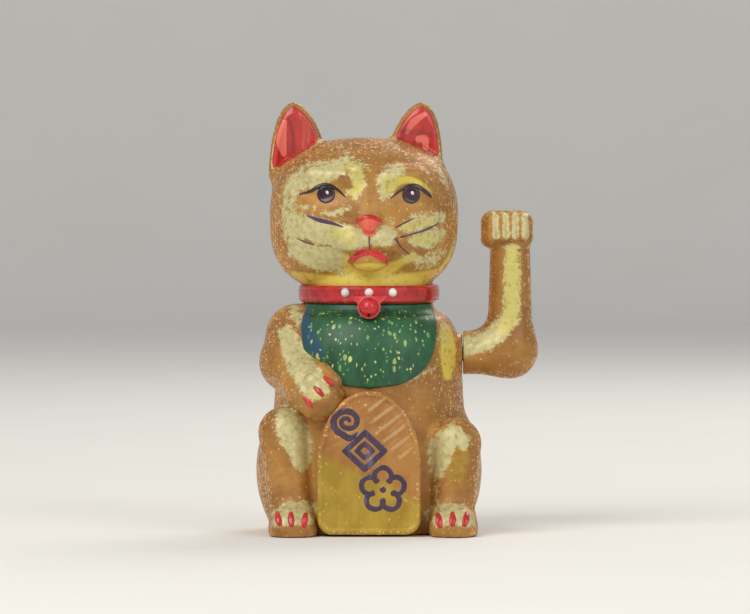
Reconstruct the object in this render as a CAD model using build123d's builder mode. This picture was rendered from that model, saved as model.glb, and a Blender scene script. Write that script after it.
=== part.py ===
"""A battery-driven beckoning cat figurine, as the separate pieces it comes apart into.

Millimetres. +Z is up, the cat faces -Y, and its raised arm is on the +X side. The origin is on the
axis of the round body, in the plane that the standing rim of the base plate rests on.
The body is a front and a rear shell, welded at the plane Y = 0. The raised arm turns about a level
axis through its shoulder, driven by a magnet pendulum inside the body that swings over a coil.
"""

import math
import os

from build123d import *

os.makedirs("parts", exist_ok=True)

# ---- driving dimensions -------------------------------------------------------------------------
WALL = 2.0  # shells of the body
ARM_WALL = 1.7  # shells of the raised arm
SEAM = 0.05  # half the gap between the two halves of a welded shell
GLUE = 0.15  # gap under a piece that is glued on the body
FIT = 0.02  # gap round a pressed or glued pin
SLACK = 0.2  # clearance round a screw and between parts that are not meant to touch
SEAM_TURN = 37.0  # turns each surface's own seam line away from the parting of the shells
RIM_Z = 0.4  # lowest point of the body shells, just clear of the table
BEYOND = 300.0  # further than any side of the cat

# body, as a solid of revolution about Z: (radius, height) up the outline
TORSO = [(45.5, RIM_Z), (46.6, 18), (45.6, 38), (43.7, 58), (42.7, 76), (41.4, 88), (37.2, 97.2)]
TORSO += [(31.2, 101.4), (29.5, 104.8), (29.3, 114), (27.5, 123)]
HEAD_AT = (-2.3, -2.0, 145.5)
HEAD_HALF = (43.3, 35.3)  # along X, and round that axis
HEAD_POWER, HEAD_TIGHTNESS = 2.35, 0.76  # 2 and 1 make an ellipsoid; more and less, a squarer one
TAIL = ((4.0, 42.0, 13.0), 7.0, (-3.0, 46.0, 30.0), 5.2)

EAR_X, EAR_SHIFT = 26.5, -4.2  # half the spacing of the ears, and their place beside the nose
EAR_Y, EAR_BASE_Z, EAR_TIP_Z = 2.0, 163.0, 196.8
EAR_LEAN, EAR_BOW = 2.2, 1.3  # how far out the tip leans, and how far the sides curve in
EAR_RINGS = [(0.0, 12.8, 7.6), (0.42, 10.6, 6.0), (0.75, 6.6, 4.0), (1.0, 1.9, 1.6)]
EAR_RIM, EAR_RECESS = 2.2, 6.5  # the hollow front of the ear is the ear itself, less and forward
EAR_DISH_FLOOR = 0.8  # skin left between the hollow of the ear and the head

# legs, by side: the cat's right leg (-1) is drawn up higher than its left (1)
THIGHS = {-1: (-37.2, -6.0, 28.2), 1: (37.2, -6.0, 28.2)}
THIGH_HALF, THIGH_R = 14.6, 28.0
KNEES = {-1: (-38.8, -31.0, 46.5), 1: (39.6, -32.0, 41.5)}
ANKLES = {-1: (-35.2, -37.0, 12.0), 1: (38.4, -37.0, 12.0)}
FEET = {-1: (-34.4, -42.5, 3.6), 1: (38.3, -42.5, 3.6)}
KNEE_R, ANKLE_R, FOOT_HALF, FOOT_R = 11.6, 9.6, 15.5, 11.3
LOW_ARM = [((-33.0, -4.0, 90.0), 14.5), ((-36.5, -17.0, 78.0), 13.0), ((-27.0, -36.0, 67.5), 11.2)]
LOW_ARM += [((-21.5, -43.0, 62.5), 10.8)]
CHEEK_X, CHEEK_AT, CHEEK_HALF, CHEEK_R = 19.5, (-2.3, -6.0, 131.4), 20.5, 19.0
MUZZLE_AT, MUZZLE_HALF, MUZZLE_R = (0.0, -31.5, 131.0), 15.0, 9.5

# raised arm and its pivot
PIVOT_Z = 81.5
ARM_ROOT_X, ELBOW_X, ELBOW_Z = 43.4, 65.0, 82.7
UPPER_R, ELBOW_R, FOREARM_R, WRIST_R = 9.8, 10.6, 9.7, 9.1
WRIST_Z, FIST_BOTTOM_Z, FIST_TOP_Z = 131.0, 129.5, 147.3
FIST_X, FIST_Y, FIST_ROUND = (51.6, 75.4), (-12.5, 9.5), 6.0
SHELL_HOLE_R, SPIGOT_R, SPIGOT_X, ARM_ROOT_WALL = 4.2, 3.5, 31.2, 2.0
HUB_FLANGE, HUB_NOSE_R, HUB_NOSE = 2.2, 5.0, 6.0
SHAFT_R, SHAFT_X, SHAFT_FLAT = 1.5, (-1.0, 39.6), 0.9  # SHAFT_FLAT is the flat's height over the axis
RUNNING = 0.04  # radial clearance of the shaft in its bushes
CLIP_X, CLIP_THICK, CLIP_R, GROOVE = 0.8, 0.6, 3.2, 0.4

# glued-on pieces
COLLAR_R, COLLAR_Z, COLLAR_EDGE, COLLAR_SLIT = (29.85, 32.4), (105.2, 113.2), 0.9, 0.5
BEAD_R, BEAD_Z, BEAD_TURN = 1.9, 110.2, 19.4
BELL_AT, BELL_R, BELL_BAND, BELL_SLOT, BELL_LUG_R = (0.0, -40.5, 103.7), 4.2, 0.6, (1.0, 5.6), 0.7
BIB_THICK = 1.2
BIB_EDGE = [(-28.6, 104.9), (-31.0, 93.5), (-27.6, 78.5), (-16.5, 69.6), (0.0, 66.9)]
COIN_HALF, COIN_Z, COIN_SHOULDER_Z, COIN_CORNER = 23.4, (1.0, 66.2), 33.0, 7.0
COIN_FRONT_Y, COIN_BACK_Y, COIN_BEVEL = -51.2, -34.0, 1.0
COIN_PEGS, PEG_R = [(0.0, 18.0), (0.0, 46.0)], 1.5
PEG_END, PEG_LONG, PEG_SPARE = 40.5, 8.0, 2.5  # the pegs' inner ends, and room past both ends

# pendulum
HUB_R, HUB_SCREW_X = 4.5, 10.0
BLADE_THICK, BLADE_HALF = 3.0, 5.0
CUP_Z, CUP_WALL = (22.9, 30.0), 1.5
MAGNET_R, MAGNET_HIGH = 5.0, 4.3
WEIGHT_Z, WEIGHT_HIGH, WEIGHT_THICK, WEIGHT_HALF_Y = 38.5, 14.0, 4.6, 8.0
WEIGHT_CORNER, RIVET_R, RIVET_HEAD_R, RIVET_HEAD = 1.5, 1.5, 2.8, 0.8

# base, battery and works
SMALL_SCREW_R, SMALL_HEAD_R, BOARD_SCREW_LONG, SWITCH_SCREW_LONG = 0.9, 1.9, 5.5, 2.3
SPRING_WIRE_R, SPRING_R, SPRING_PITCH, SPRING_CONE = 0.3, 5.0, 1.1, -24.0
CAPACITOR_AT, CAPACITOR_R, CAPACITOR_HIGH, CAPACITOR_CRIMP = (-28.5, 4.5), 2.5, 7.5, 0.9
CHIP_AT, CHIP_SIZE, CHIP_HIGH, CHIP_BEVEL = (-22.0, -1.0), (5.0, 4.0), 1.5, 0.25
CHIP_PITCH, CHIP_LEG = 1.27, (0.45, 1.4)
RESISTOR_X, RESISTOR_Y, RESISTOR_SIZE = -17.0, (-7.6, -5.2), (2.0, 1.2, 1.1)
BASE_R, BASE_LOW, BASE_HIGH = 43.3, 1.2, 3.4
RIM_IN_R, FRAME_POST_R, BOARD_POST_R = 40.9, 3.5, 2.5
BOX_X, BOX_Y, BOX_TOP, BOX_WALL = 28.9, (14.0, 31.4), 20.0, 1.4
CELL_AT, CELL_R, CELL_X = (22.7, 10.8), 7.2, (-23.6, 25.7)  # an AA cell, lying along X
NUB_R, NUB_LENGTH = 2.7, 1.2
TAB_HALF, TAB_TOP, TAB_THICK, PLATE = 2.0, 22.6, 0.5, 10.0
DOOR_PIVOT = (-25.8, 2.5)  # X and Z of the battery door's hinge
DOOR_PIN_R, DOOR_PIN, DOOR_KNUCKLE_R, DOOR_TOP, DOOR_GAP = 0.8, 0.8, 1.25, 3.0, 0.3
LEDGE, LEDGE_LONG = 0.8, 6.0
GRIP_X, GRIP_GROOVES, GRIP_STEP, GRIP_LONG = 20.6, 4, 1.6, 8.0
TONGUE_LONG, TONGUE_HALF, TONGUE_SLIT = 7.0, 5.0, 0.6
BOARD_X, BOARD_HALF_Y, BOARD_Z = (-34.0, -10.0), 10.0, (9.4, 10.6)
BOARD_SCREWS = [(-31.0, -7.2), (-13.0, 7.2)]
SWITCH_AT, SWITCH_TRAVEL = (-24.0, -21.0), 2.0
SWITCH_SCREWS = [(-30.2, -21.0), (-17.8, -21.0)]
SWITCH_FLANGE, SWITCH_CAN, SWITCH_INSIDE = (16.4, 4.0), (9.0, 5.2), (6.4, 3.2)
SWITCH_PLATE, SWITCH_HIGH = 0.8, 3.8
SLIDER_SIZE, SLIDER_GAP, KNOB, KNOB_LOW = (3.2, 2.6, 1.9), 0.35, (2.0, 1.6), 0.5
LUG_X, LUG_SIZE = (-26.5, -24.0, -21.5), (0.9, 1.6, 2.0)
LEAD_R, LEAD_BEND, SHORT_LEAD_BEND, LEAD_Z = 0.6, 3.0, 2.0, 21.6
COIL_LEAD_R, COIL_LEAD_BEND, COIL_LEAD_Y = 0.25, 1.0, 1.5
UPRIGHT_X = (3.5, 27.5)  # middle of the two bearing uprights
UPRIGHT_THICK, UPRIGHT_HALF = 3.0, 12.6
FRAME_Z, FRAME_THICK = 8.0, 2.6
COIL_X = 15.5  # the pendulum swings in this plane
COIL_R, COIL_TOP, WINDING_R, BOBBIN_END = 9.0, 19.4, 8.3, 1.0
SCREW_PLACES = [(14.3, -35.4), (-14.3, -35.4), (12.0, 36.3), (-12.0, 36.3)]
BOSS_R, BOSS_TOP = 3.7, 17.0
BOSS_RIB, BOSS_RIB_LONG, BOSS_RIB_OUT, PILOT_R = 2.4, 7.4, 3.2, 1.27
SCREW_R, SCREW_HEAD_R, SCREW_HEAD, SLOT_WIDE, SLOT_DEEP = 1.25, 2.3, 1.6, 0.6, 0.8
FRAME_SCREW_LONG, BASE_SCREW_LONG = 7.0, 10.0
SINK = 0.9  # how deep the base screws' heads sit in the plate
FRAME_HALF_X, FRAME_HALF_Y, FRAME_CORNER, COIL_ROOM = 20.6, 12.6, 3.0, 1.8
WINDOW_Z, WINDOW_TALL, WINDOW_WIDE = 42.75, 36.0, 12.0  # the opening in each bearing upright
FRAME_SCREWS = [(-1.9, -8.0), (-1.9, 8.0), (32.9, -8.0), (32.9, 8.0)]
BUSH_R, BUSH_FLANGE_R, BUSH_FLANGE = 3.0, 4.2, 1.0
STOP_Y, STOP_Z, STOP_R = 10.2, 77.0, 1.5
CORE_R, TUBE_R = 2.0, 3.3


# ---- helpers ------------------------------------------------------------------------------------
def oval_outline(half_length, radius, shrink, power, tightness):
    """Half the outline of an oval, in five tangent arcs, closed along its long axis."""
    bulge = 0.5 ** (1 / power)
    slope = math.hypot(half_length, radius)
    corner_r = tightness * bulge * slope**3 / (2 * (power - 1) * half_length * radius)
    x = half_length * bulge - corner_r * radius / slope
    y = radius * bulge - corner_r * half_length / slope
    long_gap, wide_gap = half_length - corner_r, radius - corner_r
    cap_x = (long_gap**2 - x**2 - y**2) / (2 * (long_gap - x))
    side_y = (wide_gap**2 - x**2 - y**2) / (2 * (wide_gap - y))
    cap_r, side_r = half_length - cap_x, radius - side_y
    outward = math.copysign(1, cap_r - corner_r)
    cap_turn = math.degrees(math.atan2(outward * y, outward * (x - cap_x)))
    outward = math.copysign(1, side_r - corner_r)
    side_turn = math.degrees(math.atan2(outward * (y - side_y), outward * x))
    CenterArc((cap_x, 0), cap_r - shrink, 0, cap_turn)
    CenterArc((x, y), corner_r - shrink, cap_turn, side_turn - cap_turn)
    CenterArc((0, side_y), side_r - shrink, side_turn, 180 - 2 * side_turn)
    CenterArc((-x, y), corner_r - shrink, 180 - side_turn, side_turn - cap_turn)
    CenterArc((-cap_x, 0), cap_r - shrink, 180 - cap_turn, cap_turn)
    Line((shrink - half_length, 0), (half_length - shrink, 0))


def spheroid(centre, along, half_length, radius, shrink, power=2.0, tightness=1.0):
    """An egg: an oval turned about its own axis, which points along a direction."""
    plane = Plane(origin=centre, x_dir=along, z_dir=Vector(along).cross(Vector(0.3, 0.2, 1)))
    with BuildPart() as egg:
        with BuildSketch(plane):
            with BuildLine():
                oval_outline(half_length, radius, shrink, power, tightness)
            make_face()
        revolve(axis=Axis(plane.origin, plane.x_dir))
    return egg.part


def limb(start, start_r, end, end_r):
    """A round-ended bar that tapers from one radius to another."""
    run = Vector(end) - Vector(start)
    plane = Plane(origin=start, x_dir=run, z_dir=run.cross(Vector(0.2, 0.31, 1)))
    lean = (start_r - end_r) / run.length
    rise = math.sqrt(1 - lean**2)
    near = (start_r * lean, start_r * rise)
    far = (run.length + end_r * lean, end_r * rise)
    half_turn = math.sqrt(0.5)
    with BuildPart() as bar:
        with BuildSketch(plane):
            with BuildLine():
                ThreePointArc((-start_r, 0), (-start_r * half_turn, start_r * half_turn), near)
                Line(near, far)
                spread = math.acos(lean) / 2
                middle = (run.length + end_r * math.cos(spread), end_r * math.sin(spread))
                ThreePointArc(far, middle, (run.length + end_r, 0))
                Line((run.length + end_r, 0), (-start_r, 0))
            make_face()
        revolve(axis=Axis(plane.origin, plane.x_dir))
    return bar.part


def torso(shrink, low=None):
    """The round body and neck, thinner by shrink all round, from a chosen height up."""
    points = [(radius - shrink, height) for radius, height in TORSO]
    bottom = points[0][1] if low is None else low
    with BuildPart() as body:
        with BuildSketch(Plane.XZ.rotated((0, 0, SEAM_TURN))):
            with BuildLine():
                side = Spline(*points)
                top = points[-1]
                Line(top, (0, top[1]))
                Line((0, top[1]), (0, bottom))
                Line((0, bottom), (points[0][0], bottom))
                if bottom != points[0][1]:
                    Line((points[0][0], bottom), side @ 0)
            make_face()
        revolve(axis=Axis.Z)
    return body.part


def head(shrink):
    """A rounded-square head, round from the side and wider from the front."""
    return spheroid(HEAD_AT, (1, 0, 0), *HEAD_HALF, shrink, HEAD_POWER, HEAD_TIGHTNESS)


def cheeks(shrink):
    """The full lower corners of the face."""
    x, y, z = CHEEK_AT
    places = [(x - CHEEK_X, y, z), (x + CHEEK_X, y, z)]
    return [spheroid(place, (1, 0, 0), CHEEK_HALF, CHEEK_R, shrink) for place in places]


def ear(side, shrink=0.0, forward=0.0):
    """A leaf-shaped ear, lofted through ovals from its root in the head to its tip."""
    tall = EAR_TIP_Z - EAR_BASE_Z
    with BuildPart() as leaf:
        for share, wide, deep in EAR_RINGS:
            height = EAR_BASE_Z + (tall - shrink) * share
            outward = EAR_X + EAR_LEAN * share - EAR_BOW * math.sin(math.pi * share)
            middle = (EAR_SHIFT + side * outward, EAR_Y - forward, height)
            with BuildSketch(Plane(middle)):
                Ellipse(max(wide - shrink, 0.5), max(deep - shrink, 0.4))
        loft()
    return leaf.part


def legs(shrink, side):
    """One folded hind leg: round thigh, shin and foot."""
    return [
        spheroid(THIGHS[side], (1, 0, 0), THIGH_HALF, THIGH_R, shrink),
        limb(KNEES[side], KNEE_R - shrink, ANKLES[side], ANKLE_R - shrink),
        spheroid(FEET[side], (0, 1, 0), FOOT_HALF, FOOT_R, shrink),
    ]


def low_arm(shrink):
    """The lowered arm that holds the coin, as a chain of bars."""
    pairs = zip(LOW_ARM[:-1], LOW_ARM[1:])
    step = 0.25  # each bar starts a little thinner than the one before it ends
    return [limb(a, ra - shrink - step, b, rb - shrink) for (a, ra), (b, rb) in pairs]


def keep_above(height):
    with BuildPart() as space:
        with BuildSketch(Plane.XY.offset(height)):
            Rectangle(2 * BEYOND, 2 * BEYOND)
        extrude(amount=BEYOND)
    return space.part


def half_space(front):
    """The space before or behind the seam."""
    with BuildPart() as space:
        with BuildSketch(Plane.XZ.offset(SEAM if front else -SEAM)):
            Rectangle(2 * BEYOND, 2 * BEYOND)
        extrude(amount=BEYOND if front else -BEYOND)
    return space.part


def wire(points, radius, turns):
    """A lead of round section: straight runs joined by arcs."""
    with BuildPart() as lead:
        with BuildLine() as route:
            FilletPolyline(*points, radius=turns)
        start = route.wire() @ 0
        along = route.wire() % 0
        with BuildSketch(Plane(origin=start, z_dir=along)):
            Circle(radius)
        sweep(path=route.wire())
    return lead.part


def write(part, name):
    part.label = name
    export_step(part, f"parts/{name}.step")


# ---- body shells --------------------------------------------------------------------------------
tail_low, tail_low_r, tail_high, tail_high_r = TAIL
outside = [torso(0), head(0)] + cheeks(0) + [ear(1), ear(-1)]
outside += [limb(tail_low, tail_low_r, tail_high, tail_high_r)]
outside += legs(0, 1) + legs(0, -1) + low_arm(0)
outside += [spheroid(MUZZLE_AT, (1, 0, 0), MUZZLE_HALF, MUZZLE_R, 0)]
inside = [head(WALL)] + cheeks(WALL)
inside += [limb(tail_low, tail_low_r - WALL, tail_high, tail_high_r - WALL)]
inside += legs(WALL, 1) + legs(WALL, -1) + low_arm(WALL)
with BuildPart() as limb_hollow:
    for solid in inside:
        add(solid)
    add(keep_above(BASE_HIGH), mode=Mode.INTERSECT)
ear_dish = [ear(side, EAR_RIM, EAR_RECESS) - head(-EAR_DISH_FLOOR) for side in (1, -1)]
with BuildPart() as body_skin:
    for solid in outside:
        add(solid)
    add(keep_above(RIM_Z), mode=Mode.INTERSECT)
    add(torso(WALL, low=-5), mode=Mode.SUBTRACT)
    add(limb_hollow.part, mode=Mode.SUBTRACT)
    for solid in ear_dish:
        add(solid, mode=Mode.SUBTRACT)
    with BuildSketch(Plane.YZ.offset(SPIGOT_X)):  # the hole that the arm's spigot turns in
        with Locations((0, PIVOT_Z)):
            Circle(SHELL_HOLE_R)
    extrude(amount=ARM_ROOT_X - SPIGOT_X + 3, mode=Mode.SUBTRACT)


def shell_half(front):
    """One half of the body, with two screw bosses on ribs inside its rim."""
    places = [p for p in SCREW_PLACES if (p[1] < 0) == front]
    with BuildPart() as bosses:
        with BuildSketch(Plane.XY.offset(BASE_HIGH + SLACK)):
            with Locations(*places):
                Circle(BOSS_R)
            for x, y in places:
                turn = math.degrees(math.atan2(y, x))
                middle = Vector(x, y).normalized() * (Vector(x, y).length + BOSS_RIB_OUT)
                with Locations(Location((middle.X, middle.Y), turn)):
                    Rectangle(BOSS_RIB_LONG, BOSS_RIB)
        extrude(amount=BOSS_TOP - BASE_HIGH)
        with BuildSketch(Plane.XY.offset(BASE_HIGH)):
            with Locations(*places):
                Circle(PILOT_R)
        extrude(amount=BOSS_TOP - BASE_HIGH - 2, mode=Mode.SUBTRACT)
    with BuildPart() as half:
        add(body_skin.part)
        add(half_space(front), mode=Mode.INTERSECT)
        add(bosses.part)
        if front:
            with BuildSketch(Plane.XZ.offset(PEG_END - PEG_SPARE)):
                with Locations(*COIN_PEGS):
                    Circle(PEG_R + SLACK / 2)
            extrude(amount=PEG_LONG + 2 * PEG_SPARE, mode=Mode.SUBTRACT)
    return half.part


write(shell_half(front=True), "front_shell")
write(shell_half(front=False), "rear_shell")

# ---- what is glued on the front -----------------------------------------------------------------
with BuildPart() as collar:
    with BuildSketch(Plane.XZ):
        with Locations(((COLLAR_R[0] + COLLAR_R[1]) / 2, (COLLAR_Z[0] + COLLAR_Z[1]) / 2)):
            RectangleRounded(COLLAR_R[1] - COLLAR_R[0], COLLAR_Z[1] - COLLAR_Z[0], COLLAR_EDGE)
    revolve(axis=Axis.Z)
    with BuildSketch(Plane.XY.offset(COLLAR_Z[0])):  # the band's ends meet at the nape
        with Locations((0, COLLAR_R[1])):
            Rectangle(COLLAR_SLIT, COLLAR_R[1] / 2)
    extrude(amount=COLLAR_Z[1] - COLLAR_Z[0], mode=Mode.SUBTRACT)
write(collar.part, "collar")

with BuildPart() as collar_beads:
    for turn in (-BEAD_TURN, 0, BEAD_TURN):
        outward = Vector(0, -1, 0).rotate(Axis.Z, turn)
        place = outward * (COLLAR_R[1] + FIT) + Vector(0, 0, BEAD_Z)
        with BuildSketch(Plane(origin=place, z_dir=outward)):
            Circle(BEAD_R)
        extrude(amount=BEAD_R)
    outer_rims = collar_beads.edges().filter_by(GeomType.CIRCLE)
    outer_rims = [e for e in outer_rims if e.arc_center.length > Vector(0, COLLAR_R[1] + 1, BEAD_Z).length]
    fillet(outer_rims, BEAD_R - 0.3)  # nearly a full dome
write(collar_beads.part, "collar_beads")

with BuildPart() as bell:
    with Locations(BELL_AT):
        Sphere(BELL_R)
    with BuildSketch(Plane(BELL_AT)):  # raised band round the middle
        Circle(BELL_R + BELL_BAND / 2)
    extrude(amount=BELL_BAND, both=True)
    with BuildSketch(Plane(BELL_AT)):  # slot for the sound, across the underside
        Rectangle(*BELL_SLOT)
    extrude(amount=-2 * BELL_R, mode=Mode.SUBTRACT)
write(bell.part, "bell")

lug_start = (0, -COLLAR_R[1] - BELL_LUG_R - FIT, BELL_AT[2] + BELL_R - 1.1)
lug_end = (0, BELL_AT[1] + BELL_LUG_R, BELL_AT[2] + BELL_R - 0.6)
with BuildPart() as bell_lug:
    add(limb(lug_start, BELL_LUG_R, lug_end, BELL_LUG_R))
    with Locations(BELL_AT):
        Sphere(BELL_R + FIT, mode=Mode.SUBTRACT)
write(bell_lug.part, "bell_lug")

with BuildPart() as bib:
    add(torso(-GLUE - BIB_THICK))
    add(torso(-GLUE, low=-5), mode=Mode.SUBTRACT)
    with BuildSketch(Plane.XZ):
        with BuildLine():
            edge = Spline(*BIB_EDGE, tangents=[(-0.3, -1), (1, 0)])
            mirror(edge, about=Plane.YZ)
            Line(BIB_EDGE[0], (-BIB_EDGE[0][0], BIB_EDGE[0][1]))
        make_face()
    extrude(amount=BEYOND, mode=Mode.INTERSECT)
    for solid in low_arm(-2 * GLUE):
        add(solid, mode=Mode.SUBTRACT)
write(bib.part, "bib")

with BuildPart() as coin:
    with BuildSketch(Plane.XZ.offset(-COIN_BACK_Y)):
        with BuildLine():
            low, shoulder = COIN_Z[0], COIN_SHOULDER_Z
            arch = EllipticalCenterArc(
                (0, shoulder), COIN_HALF, COIN_Z[1] - shoulder, start_angle=0, arc_size=180
            )
            foot = FilletPolyline(
                (-COIN_HALF, shoulder), (-COIN_HALF, low), (COIN_HALF, low), (COIN_HALF, shoulder),
                radius=COIN_CORNER,
            )
        make_face()
    extrude(amount=COIN_BACK_Y - COIN_FRONT_Y)
    chamfer(coin.faces().sort_by(Axis.Y)[0].edges(), COIN_BEVEL)
    add(torso(-GLUE, low=-5), mode=Mode.SUBTRACT)
    for solid in low_arm(-GLUE) + legs(-GLUE, 1) + legs(-GLUE, -1):
        add(solid, mode=Mode.SUBTRACT)
    with BuildSketch(Plane.XZ.offset(PEG_END)):
        with Locations(*COIN_PEGS):
            Circle(PEG_R)
    extrude(amount=PEG_LONG)
write(coin.part, "koban_coin")

# ---- raised arm ---------------------------------------------------------------------------------
def arm_form(shrink):
    """The bent arm: level upper arm, elbow, upright forearm and closed paw."""
    root = ARM_ROOT_X + (ARM_ROOT_WALL if shrink else 0)
    elbow = (ELBOW_X, 0, ELBOW_Z)
    with BuildPart() as arm:
        with BuildSketch(Plane.YZ.offset(root)):
            with Locations((0, PIVOT_Z)):
                Circle(UPPER_R - shrink)
        extrude(amount=ELBOW_X - root)
        add(limb(elbow, ELBOW_R - shrink, (ELBOW_X, 0, WRIST_Z), WRIST_R - shrink))
        with BuildSketch(Plane.XY.offset(FIST_BOTTOM_Z + shrink)):
            with Locations(((FIST_X[0] + FIST_X[1]) / 2, (FIST_Y[0] + FIST_Y[1]) / 2)):
                wide, deep = FIST_X[1] - FIST_X[0], FIST_Y[1] - FIST_Y[0]
                Rectangle(wide - 2 * shrink, deep - 2 * shrink)
        fist = extrude(amount=FIST_TOP_Z - FIST_BOTTOM_Z - 2 * shrink, mode=Mode.PRIVATE)
        add(fist.fillet(FIST_ROUND - shrink, fist.edges()))
    return arm.part


arm_outside, arm_inside = arm_form(0), arm_form(ARM_WALL)


def arm_half(front):
    with BuildPart() as half:
        add(arm_outside)
        add(arm_inside, mode=Mode.SUBTRACT)
        with BuildSketch(Plane.YZ.offset(ARM_ROOT_X)):
            with Locations((0, PIVOT_Z)):
                Circle(SPIGOT_R + FIT)
        extrude(amount=ARM_ROOT_WALL, mode=Mode.SUBTRACT)
        add(half_space(front), mode=Mode.INTERSECT)
    return half.part


write(arm_half(front=True), "arm_front_shell")
write(arm_half(front=False), "arm_rear_shell")

flange_x = ARM_ROOT_X + ARM_ROOT_WALL + SLACK / 2
with BuildPart() as arm_hub:
    with BuildSketch(Plane.YZ.offset(SPIGOT_X)):
        with Locations((0, PIVOT_Z)):
            Circle(SPIGOT_R)
    extrude(amount=flange_x - SPIGOT_X)
    with BuildSketch(Plane.YZ.offset(flange_x)):
        with Locations((0, PIVOT_Z)):
            Circle(UPPER_R - ARM_WALL - SLACK)
    extrude(amount=HUB_FLANGE)
    with BuildSketch(Plane.YZ.offset(flange_x + HUB_FLANGE)):
        with Locations((0, PIVOT_Z)):
            Circle(HUB_NOSE_R)
    extrude(amount=HUB_NOSE)
    with BuildSketch(Plane.YZ.offset(SPIGOT_X)):  # D-shaped socket for the end of the shaft
        with Locations((0, PIVOT_Z)):
            Circle(SHAFT_R + FIT)
            with Locations((0, SHAFT_R + SHAFT_FLAT + FIT)):
                Rectangle(4, 2 * SHAFT_R, mode=Mode.SUBTRACT)
    extrude(amount=SHAFT_X[1] - SPIGOT_X + 0.3, mode=Mode.SUBTRACT)
write(arm_hub.part, "arm_hub")

# ---- pivot shaft and pendulum -------------------------------------------------------------------
with BuildPart() as pivot_shaft:
    with BuildSketch(Plane.YZ.offset(SHAFT_X[0])):
        with Locations((0, PIVOT_Z)):
            Circle(SHAFT_R)
    extrude(amount=SHAFT_X[1] - SHAFT_X[0])
    with BuildSketch(Plane.YZ.offset(SPIGOT_X)):
        with Locations((0, PIVOT_Z + SHAFT_R + SHAFT_FLAT)):
            Rectangle(4, 2 * SHAFT_R)
    extrude(amount=20, mode=Mode.SUBTRACT)
    with BuildSketch(Plane.YZ.offset(CLIP_X - FIT)):  # groove for the clip
        with Locations((0, PIVOT_Z)):
            Circle(SHAFT_R + 1)
            Circle(SHAFT_R - GROOVE, mode=Mode.SUBTRACT)
    extrude(amount=CLIP_THICK + 2 * FIT, mode=Mode.SUBTRACT)
write(pivot_shaft.part, "pivot_shaft")

with BuildPart() as shaft_clip:
    with BuildSketch(Plane.YZ.offset(CLIP_X)):
        with Locations((0, PIVOT_Z)):
            Circle(CLIP_R)
            Circle(SHAFT_R - GROOVE + FIT, mode=Mode.SUBTRACT)
            with Locations((0, -CLIP_R / 2)):
                Rectangle(2 * (SHAFT_R - GROOVE) - FIT, CLIP_R, mode=Mode.SUBTRACT)
    extrude(amount=CLIP_THICK)
write(shaft_clip.part, "shaft_clip")

half_thick = UPRIGHT_THICK / 2
hub_x = (UPRIGHT_X[0] + half_thick + BUSH_FLANGE + 0.5, UPRIGHT_X[1] - half_thick - BUSH_FLANGE - 0.5)
with BuildPart() as pendulum:
    with BuildSketch(Plane.YZ.offset(hub_x[0])):
        with Locations((0, PIVOT_Z)):
            Circle(HUB_R)
    extrude(amount=hub_x[1] - hub_x[0])
    with BuildSketch(Plane.YZ.offset(COIL_X - BLADE_THICK / 2)):
        with Locations((0, (PIVOT_Z + CUP_Z[1]) / 2)):
            Rectangle(2 * BLADE_HALF, PIVOT_Z - CUP_Z[1] + 2)
    extrude(amount=BLADE_THICK)
    with BuildSketch(Plane.XY.offset(CUP_Z[0])):
        with Locations((COIL_X, 0)):
            Circle(MAGNET_R + CUP_WALL)
    extrude(amount=CUP_Z[1] - CUP_Z[0])
    with BuildSketch(Plane.XY.offset(CUP_Z[0])):
        with Locations((COIL_X, 0)):
            Circle(MAGNET_R + FIT)
    extrude(amount=MAGNET_HIGH, mode=Mode.SUBTRACT)
    with BuildSketch(Plane.YZ.offset(hub_x[0])):
        with Locations((0, PIVOT_Z)):
            Circle(SHAFT_R + FIT)
    extrude(amount=hub_x[1] - hub_x[0], mode=Mode.SUBTRACT)
    with BuildSketch(Plane.XZ.offset(0)):
        with Locations((HUB_SCREW_X, PIVOT_Z)):
            Circle(SCREW_R + FIT)
    extrude(amount=HUB_R + 1, mode=Mode.SUBTRACT)
    with BuildSketch(Plane.YZ.offset(COIL_X)):
        with Locations((0, WEIGHT_Z)):
            Circle(RIVET_R + FIT)
    extrude(amount=BLADE_THICK, both=True, mode=Mode.SUBTRACT)
write(pendulum.part, "pendulum_arm")

with BuildPart() as hub_screw:
    with BuildSketch(Plane.XZ.offset(SHAFT_R + FIT)):
        with Locations((HUB_SCREW_X, PIVOT_Z)):
            Circle(SCREW_R)
    extrude(amount=HUB_R + 0.6 - SHAFT_R)
    with BuildSketch(Plane.XZ.offset(HUB_R - 0.4)):
        with Locations((HUB_SCREW_X, PIVOT_Z)):
            Rectangle(3 * SCREW_R, SLOT_WIDE)
    extrude(amount=HUB_R, mode=Mode.SUBTRACT)
write(hub_screw.part, "hub_screw")

with BuildPart() as weights:
    for side in (-1, 1):
        inner = COIL_X + side * (BLADE_THICK / 2 + FIT)
        with BuildSketch(Plane.YZ.offset(inner)):
            with Locations((0, WEIGHT_Z)):
                RectangleRounded(2 * WEIGHT_HALF_Y, WEIGHT_HIGH, WEIGHT_CORNER)
                Circle(RIVET_R + FIT, mode=Mode.SUBTRACT)
        extrude(amount=side * WEIGHT_THICK)
write(weights.part, "counterweights")

rivet_reach = BLADE_THICK / 2 + WEIGHT_THICK + 2 * FIT
with BuildPart() as weight_rivet:
    with BuildSketch(Plane.YZ.offset(COIL_X)):
        with Locations((0, WEIGHT_Z)):
            Circle(RIVET_R)
    extrude(amount=rivet_reach + RIVET_HEAD / 2, both=True)
    for side in (-1, 1):
        with BuildSketch(Plane.YZ.offset(COIL_X + side * rivet_reach)):
            with Locations((0, WEIGHT_Z)):
                Circle(RIVET_HEAD_R)
        extrude(amount=side * RIVET_HEAD)
write(weight_rivet.part, "weight_rivet")

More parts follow.
